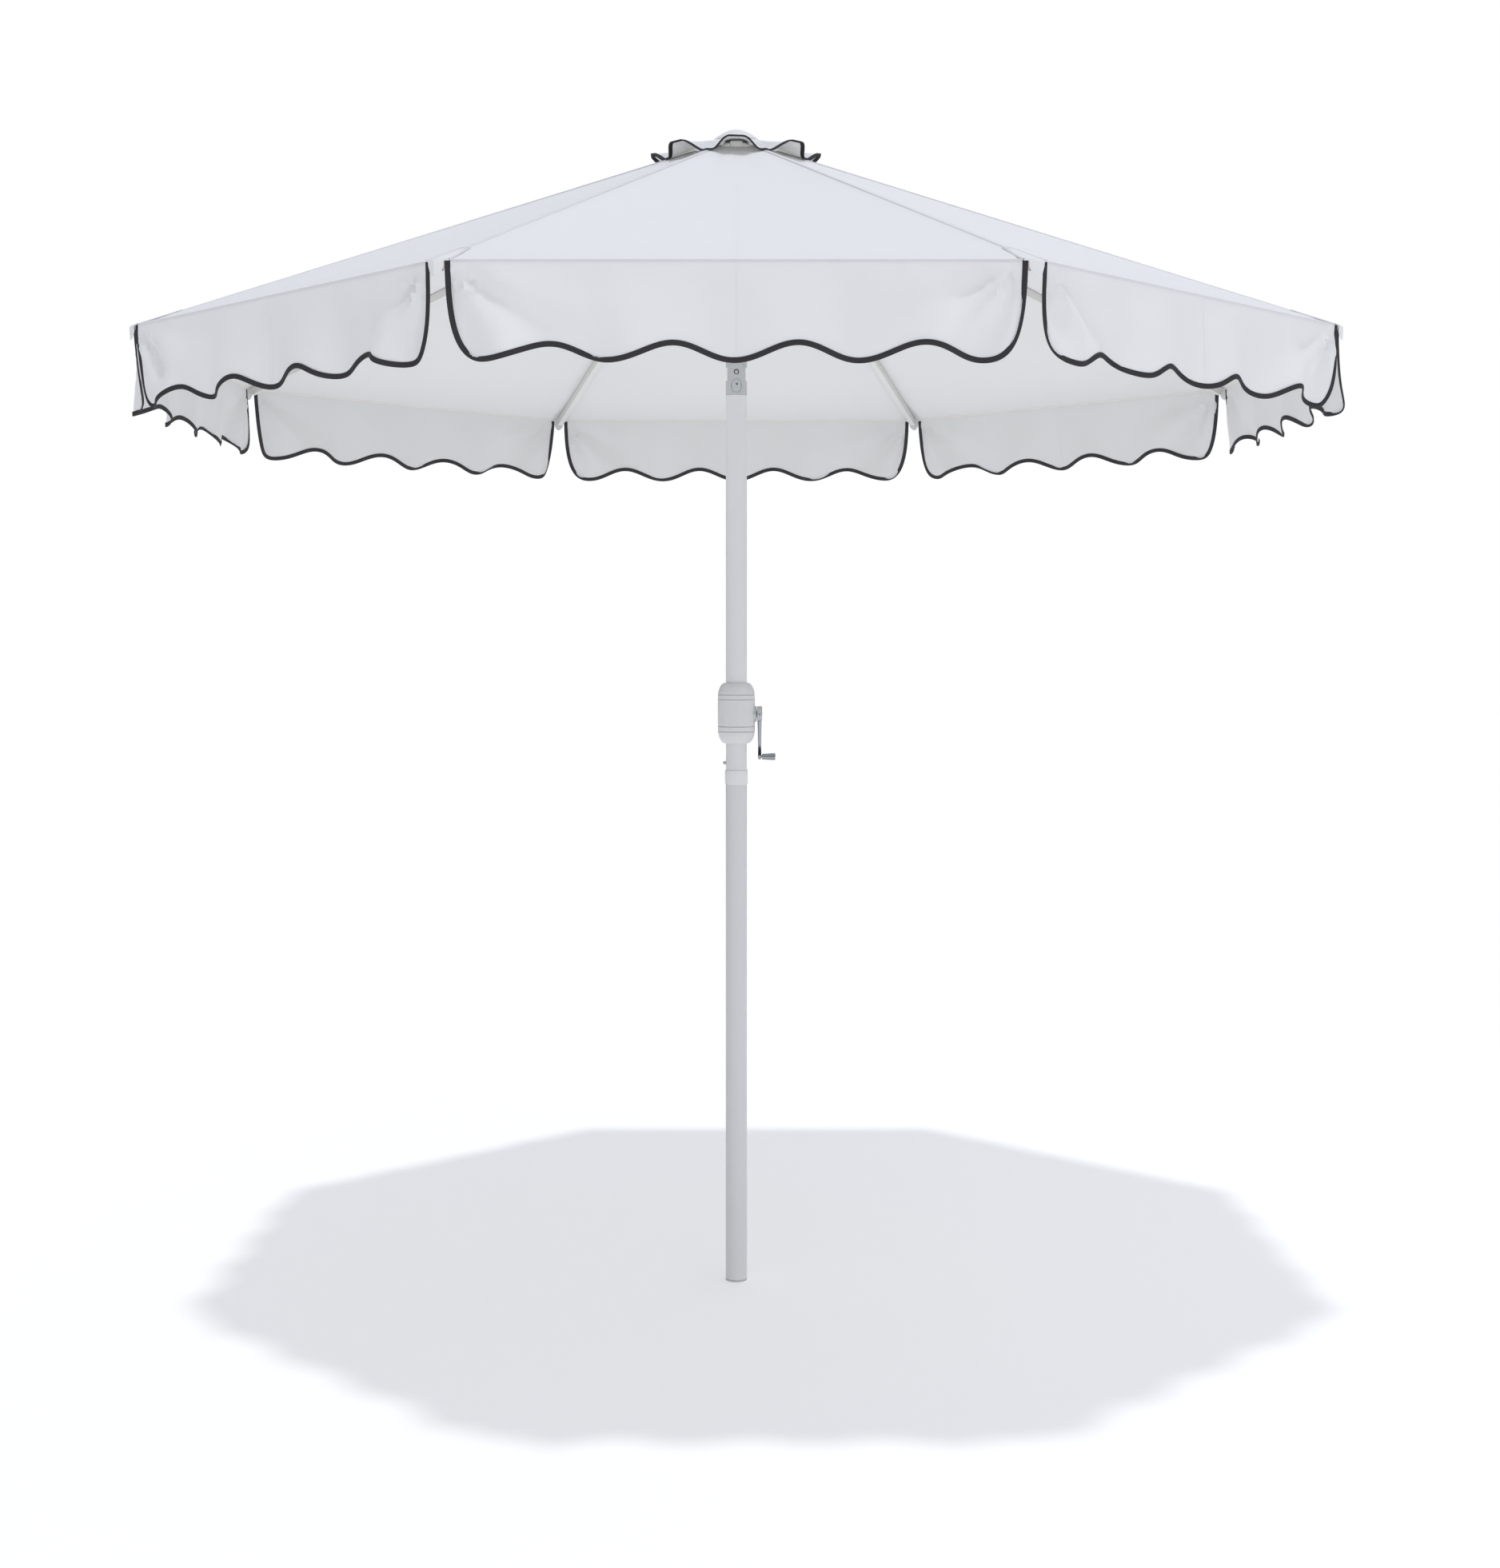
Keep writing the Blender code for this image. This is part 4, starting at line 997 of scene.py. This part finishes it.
def tape_round(name, path, inwards, normals):
    """A folded tape round the edge of a sheet, as a closed flat tube."""
    work = bmesh.new()
    layer = work.loops.layers.uv.new("cloth")
    rows, run = [], [0.0]
    for here, there in zip(path, path[1:]):
        run.append(run[-1] + (there - here).length)
    for point, inward, normal in zip(path, inwards, normals):
        rows.append([work.verts.new(point + inward * a + normal * b) for a, b in TAPE_SECTION])
    count = len(TAPE_SECTION)
    for i in range(len(rows) - 1):
        for j in range(count):
            nxt = (j + 1) % count
            corners = (rows[i][j], rows[i + 1][j], rows[i + 1][nxt], rows[i][nxt])
            face = work.faces.new(corners)
            for loop, (a, b) in zip(face.loops, ((i, j), (i + 1, j), (i + 1, j + 1), (i, j + 1))):
                loop[layer].uv = (b * 0.0035, run[a])
    work.faces.new(rows[0])
    work.faces.new(reversed(rows[-1]))
    made = finished(name, work, 50)
    made.data.materials.append(dark_tape)
    return made


def edge_ways(path, towards, normal_at):
    """The way into the cloth at each point of its edge, and the cloth's normal there."""
    inwards, normals = [], []
    for i, point in enumerate(path):
        run = (path[min(i + 1, len(path) - 1)] - path[max(i - 1, 0)]).normalized()
        normal = normal_at(i)
        normal = (normal - run * normal.dot(run)).normalized()
        inward = run.cross(normal)
        if inward.dot(towards(i) - point) < 0:
            inward.negate()
        inwards.append(inward)
        normals.append(normal)
    return inwards, normals


def bound(kind, tag, path, towards, normal_at):
    """The dark tape round an edge of the cloth, and the stitches on both its faces."""
    inwards, normals = edge_ways(path, towards, normal_at)
    tape = tape_round(f"{kind}_binding_{tag}", path, inwards, normals)
    seams = [[p + w * TAPE_SEAM + n * lift for p, w, n in zip(path, inwards, normals)]
             for lift in (0.0015, -0.0015)]
    thread = sewn(f"{kind}_stitches_{tag}", seams, black_thread, pitch=0.0040,
                  stitch=0.0029, thread=0.0003)
    return tape, thread


for k in range(1, SIDES + 1):
    middle = 2 * HALF_TURN * k
    outward = Vector((math.cos(middle), math.sin(middle), 0))
    for side, label in ((-1, "a"), (1, "b")):
        grid, across_m, down_m = [], [], []
        for i in range(FLAP_ROWS + 1):
            places = [flap_place(j / FLAP_COLUMNS, i / FLAP_ROWS)
                      for j in range(FLAP_COLUMNS + 1)]
            grid.append([flap_point(k, side, place) for place in places])
            across_m.append([side * place.x for place in places])
            down_m.append([place.y for place in places])
        flap = sheet_piece(f"valance_flap_{k}{label}", grid, across_m, down_m)
        thick(facing(flap, outward), CLOTH, 0.0)
        if side < 0:
            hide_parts(f"valance_{k}")

        # the dark binding round its scallops and up its side, and the stitches in it
        places = [low_edge(i / 72) for i in range(72)] + [side_edge(1 - i / 26) for i in range(27)]
        path = [flap_point(k, side, place) for place in places]
        inner = Vector((0.24, 0.06))
        tape, thread = bound(
            "valance", f"{k}{label}", path,
            lambda i: flap_point(k, side, places[i].lerp(inner, 0.2)), lambda i: outward)

        # the hem inside the rim, painted lighter than the cloth round it as painted light
        rim = [side * FLAP_TOP_HALF * j / 40 for j in range(41)]
        turn_in = [(0.0012, 0.0), (0.0019, 0.0016), (0.0020, 0.0046), (0.0012, 0.0058)]
        grid = [[flap_point(k, side, (side * over, drop), -off) for over in rim]
                for off, drop in turn_in]
        hem = sheet_piece(f"rim_hem_{k}{label}", grid, [rim] * 4,
                          [[drop] * 41 for off, drop in turn_in])
        facing(hem, outward * -1)
        hem.data.materials.append(lightened_hem_cloth)
        for piece in (flap, tape, thread, hem):
            fold_to_corner(piece, k, side)


# ---- the vent cap ---------------------------------------------------------------------
# A second, small roof over the opening at the top. It is sewn down at the ribs, and
# between them its bound edge stands up in arches that let the wind out.
VENT_R, VENT_TOP, VENT_BILLOW, VENT_LIFT = 0.175, 2.586, 0.030, 0.037
VENT_HOLE, VENT_STEPS, EDGE_STEPS = 0.030, 18, 36
vent_top_cloth = woven("vent cloth", (0.84, 0.84, 0.845), (0.81, 0.81, 0.82), 2600.0, 0.00012,
                       sheen=0.1, through=0.9)
# The vent cap's inside face is a lighter, warmer copy of its outside's white: painted light, for
# sunlight coming through the cloth.
lit_vent_inner_cloth = woven("vent cloth inside painted light", (0.93, 0.92, 0.88), (0.91, 0.90, 0.86), 2600.0,
                         0.00012, through=0.9)


def vent_arch(share):
    """How far the edge is lifted, from 0 at a rib to 1 midway to the next."""
    return smooth_step(1 - abs(share), 0.14, 0.82)


def vent_point(k, share, ring):
    """A point of the vent cap over gore k: share -1 to 1 across, ring 0 to 1 out."""
    turn = share * HALF_TURN
    middle = 2 * HALF_TURN * k
    arch = vent_arch(share)
    sway = 1 + 0.10 * math.sin(2.3 * k)
    straight = VENT_R * math.cos(HALF_TURN) / math.cos(turn)
    edge = straight + VENT_BILLOW * arch * sway
    radius = VENT_HOLE + (edge - VENT_HOLE) * ring
    roof = APEX_Z - radius * math.cos(turn) * math.tan(GORE_SLOPE)
    gap = VENT_TOP - APEX_Z
    lean = 0.07 * share * math.sin(1.9 * k)
    height = roof + gap * (1 - ring) + 0.0024 + VENT_LIFT * (arch + lean * arch) * ring ** 2.2
    over = 0.004 * math.sin(math.pi * ring) * (1 - share * share)
    angle = middle + turn
    return Vector((radius * math.cos(angle), radius * math.sin(angle), height + over))


for k in range(1, SIDES + 1):
    for side, label in ((-1, "a"), (1, "b")):
        grid, across_m, down_m = [], [], []
        for i in range(VENT_STEPS + 1):
            row = [side * j / VENT_STEPS for j in range(VENT_STEPS + 1)]
            grid.append([vent_point(k, share, i / VENT_STEPS) for share in row])
            across_m.append([share * 0.076 * i / VENT_STEPS for share in row])
            down_m.append([VENT_HOLE + 0.16 * i / VENT_STEPS] * len(row))
        sector = sheet_piece(f"vent_{k}{label}", grid, across_m, down_m)
        thick(facing(sector, UP), CLOTH, 0.0, vent_top_cloth, lit_vent_inner_cloth)
        if (k, side) == (1, -1):
            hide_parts("vent_cap")
        edge = [side * i / EDGE_STEPS for i in range(EDGE_STEPS + 1)]
        path = [vent_point(k, share, 1.0) for share in edge]
        inner_ring = [vent_point(k, share, 0.9) for share in edge]
        slopes = []
        for i in range(EDGE_STEPS + 1):
            run = path[min(i + 1, EDGE_STEPS)] - path[max(i - 1, 0)]
            slope = run.cross(path[i] - inner_ring[i]).normalized()
            slopes.append(slope if slope.z > 0 else slope * -1)
        tape, thread = bound("vent", f"{k}{label}", path, lambda i: inner_ring[i],
                             lambda i: slopes[i])
        for piece in (sector, tape, thread):
            fold_to_rib(piece, k, side)

# A domed, cloth-covered cap closes the middle and clips on the hub cap's post.
CROWN_TOP = 2.5964
cap_cover = grained("covered cap", (0.84, 0.84, 0.845), (0.81, 0.81, 0.82), 0.85, 0.00010,
                    grain=2600.0)
crown = finished("vent_crown", lathe([
    (0, CROWN_TOP), (0.0100, CROWN_TOP - 0.0008), (0.0180, CROWN_TOP - 0.0030),
    (0.0260, CROWN_TOP - 0.0065), (0.0340, CROWN_TOP - 0.0107), (0.0460, CROWN_TOP - 0.0190),
    (0.0535, CROWN_TOP - 0.0262), (0.0540, CROWN_TOP - 0.0272), (0.0535, CROWN_TOP - 0.0277),
    (0.0400, CROWN_TOP - 0.0223), (0.0200, CROWN_TOP - 0.0143), (0.0043, CROWN_TOP - 0.0084),
    (0.0043, CROWN_TOP - 0.0041), (0, CROWN_TOP - 0.0041),
], steps=96), 60)
put(crown, "head", "canopy_cloth", cap_cover, "crown_cap")


# ---- the stage ------------------------------------------------------------------------
# A white room: a pale floor, an even sky that dims to the sides and more to the left, a
# soft sun, and a dark wall low behind the camera that only polished metal shows.
world = bpy.data.worlds.new("soft room")
bpy.context.scene.world = world
world.use_nodes = True
room = world.node_tree


def ranged(value, low=0.0, high=1.0, from_value=0.0, to_value=1.0):
    """The output of a map range: low and high become from_value and to_value."""
    node = room.nodes.new("ShaderNodeMapRange")
    preset(node, {"From Min": low, "From Max": high, "To Min": from_value, "To Max": to_value})
    room.links.new(value, node.inputs["Value"])
    return node.outputs[0]


way = room.nodes.new("ShaderNodeTexCoord")
axes = room.nodes.new("ShaderNodeSeparateXYZ")
feed(room, axes.inputs[0], way.outputs["Generated"])
sideways, upwards = axes.outputs["X"], axes.outputs["Z"]
seen = room.nodes.new("ShaderNodeLightPath")
dim = ranged(maths(room, "ABSOLUTE", sideways), 0.25, 0.95, 0.79, 0.36)
lean = maths(room, "MULTIPLY_ADD", sideways, 0.50, 0.94)
wall = room.nodes.new("ShaderNodeMix")
feed(room, wall.inputs[0], seen.outputs["Is Glossy Ray"])
feed(room, wall.inputs[2], 1.0)
feed(room, wall.inputs[3], ranged(maths(room, "ABSOLUTE", upwards), 0.15, 0.60, 0.06))
sky = room.nodes["Background"]
feed(room, sky.inputs["Color"],
     mixed_colour(room, ranged(upwards), (1.0, 1.0, 1.0, 1), (0.85, 0.91, 1.06, 1)))
feed(room, sky.inputs["Strength"],
     maths(room, "MULTIPLY", maths(room, "MULTIPLY", dim, lean), wall.outputs[0]))
plain = room.nodes.new("ShaderNodeBackground")
feed(room, plain.inputs["Color"], (1, 1, 1, 1))
chosen = room.nodes.new("ShaderNodeMixShader")
for socket, value in zip(chosen.inputs, (seen.outputs["Is Camera Ray"], sky.outputs[0],
                                         plain.outputs[0])):
    feed(room, socket, value)
feed(room, room.nodes["World Output"].inputs["Surface"], chosen.outputs[0])

floor_mesh = bpy.data.meshes.new("floor")
reach = 40
floor_mesh.from_pydata([(-reach, -reach, 0), (reach, -reach, 0), (reach, reach, 0),
                        (-reach, reach, 0)], [], [(0, 1, 2, 3)])
floor = placed("floor", floor_mesh)
pale = bpy.data.materials.new("pale floor")
pale.use_nodes = True
preset(pale.node_tree.nodes["Principled BSDF"], {
    "Base Color": (0.8, 0.8, 0.8, 1), "Roughness": 1.0, "Specular IOR Level": 0.0,
    "Emission Color": (1, 1, 1, 1), "Emission Strength": 0.31})
floor.data.materials.append(pale)

sun_light = bpy.data.lights.new("overhead", "SUN")
sun_light.energy = 1.0
sun_light.angle = math.radians(3.0)
sun = placed("overhead", sun_light)
sun.rotation_euler = Vector((-0.03, -0.13, 1.0)).to_track_quat("Z", "Y").to_euler()

lens = bpy.data.cameras.new("camera")
lens.lens = 48.13
lens.sensor_width = 36.0
lens.shift_x = 0.0087
lens.shift_y = -0.0846
camera = placed("camera", lens)
camera.location = (0, -4.737, 1.419)
camera.rotation_euler = (math.pi / 2, 0, 0)
bpy.context.scene.camera = camera
bpy.context.scene.view_settings.view_transform = "Standard"
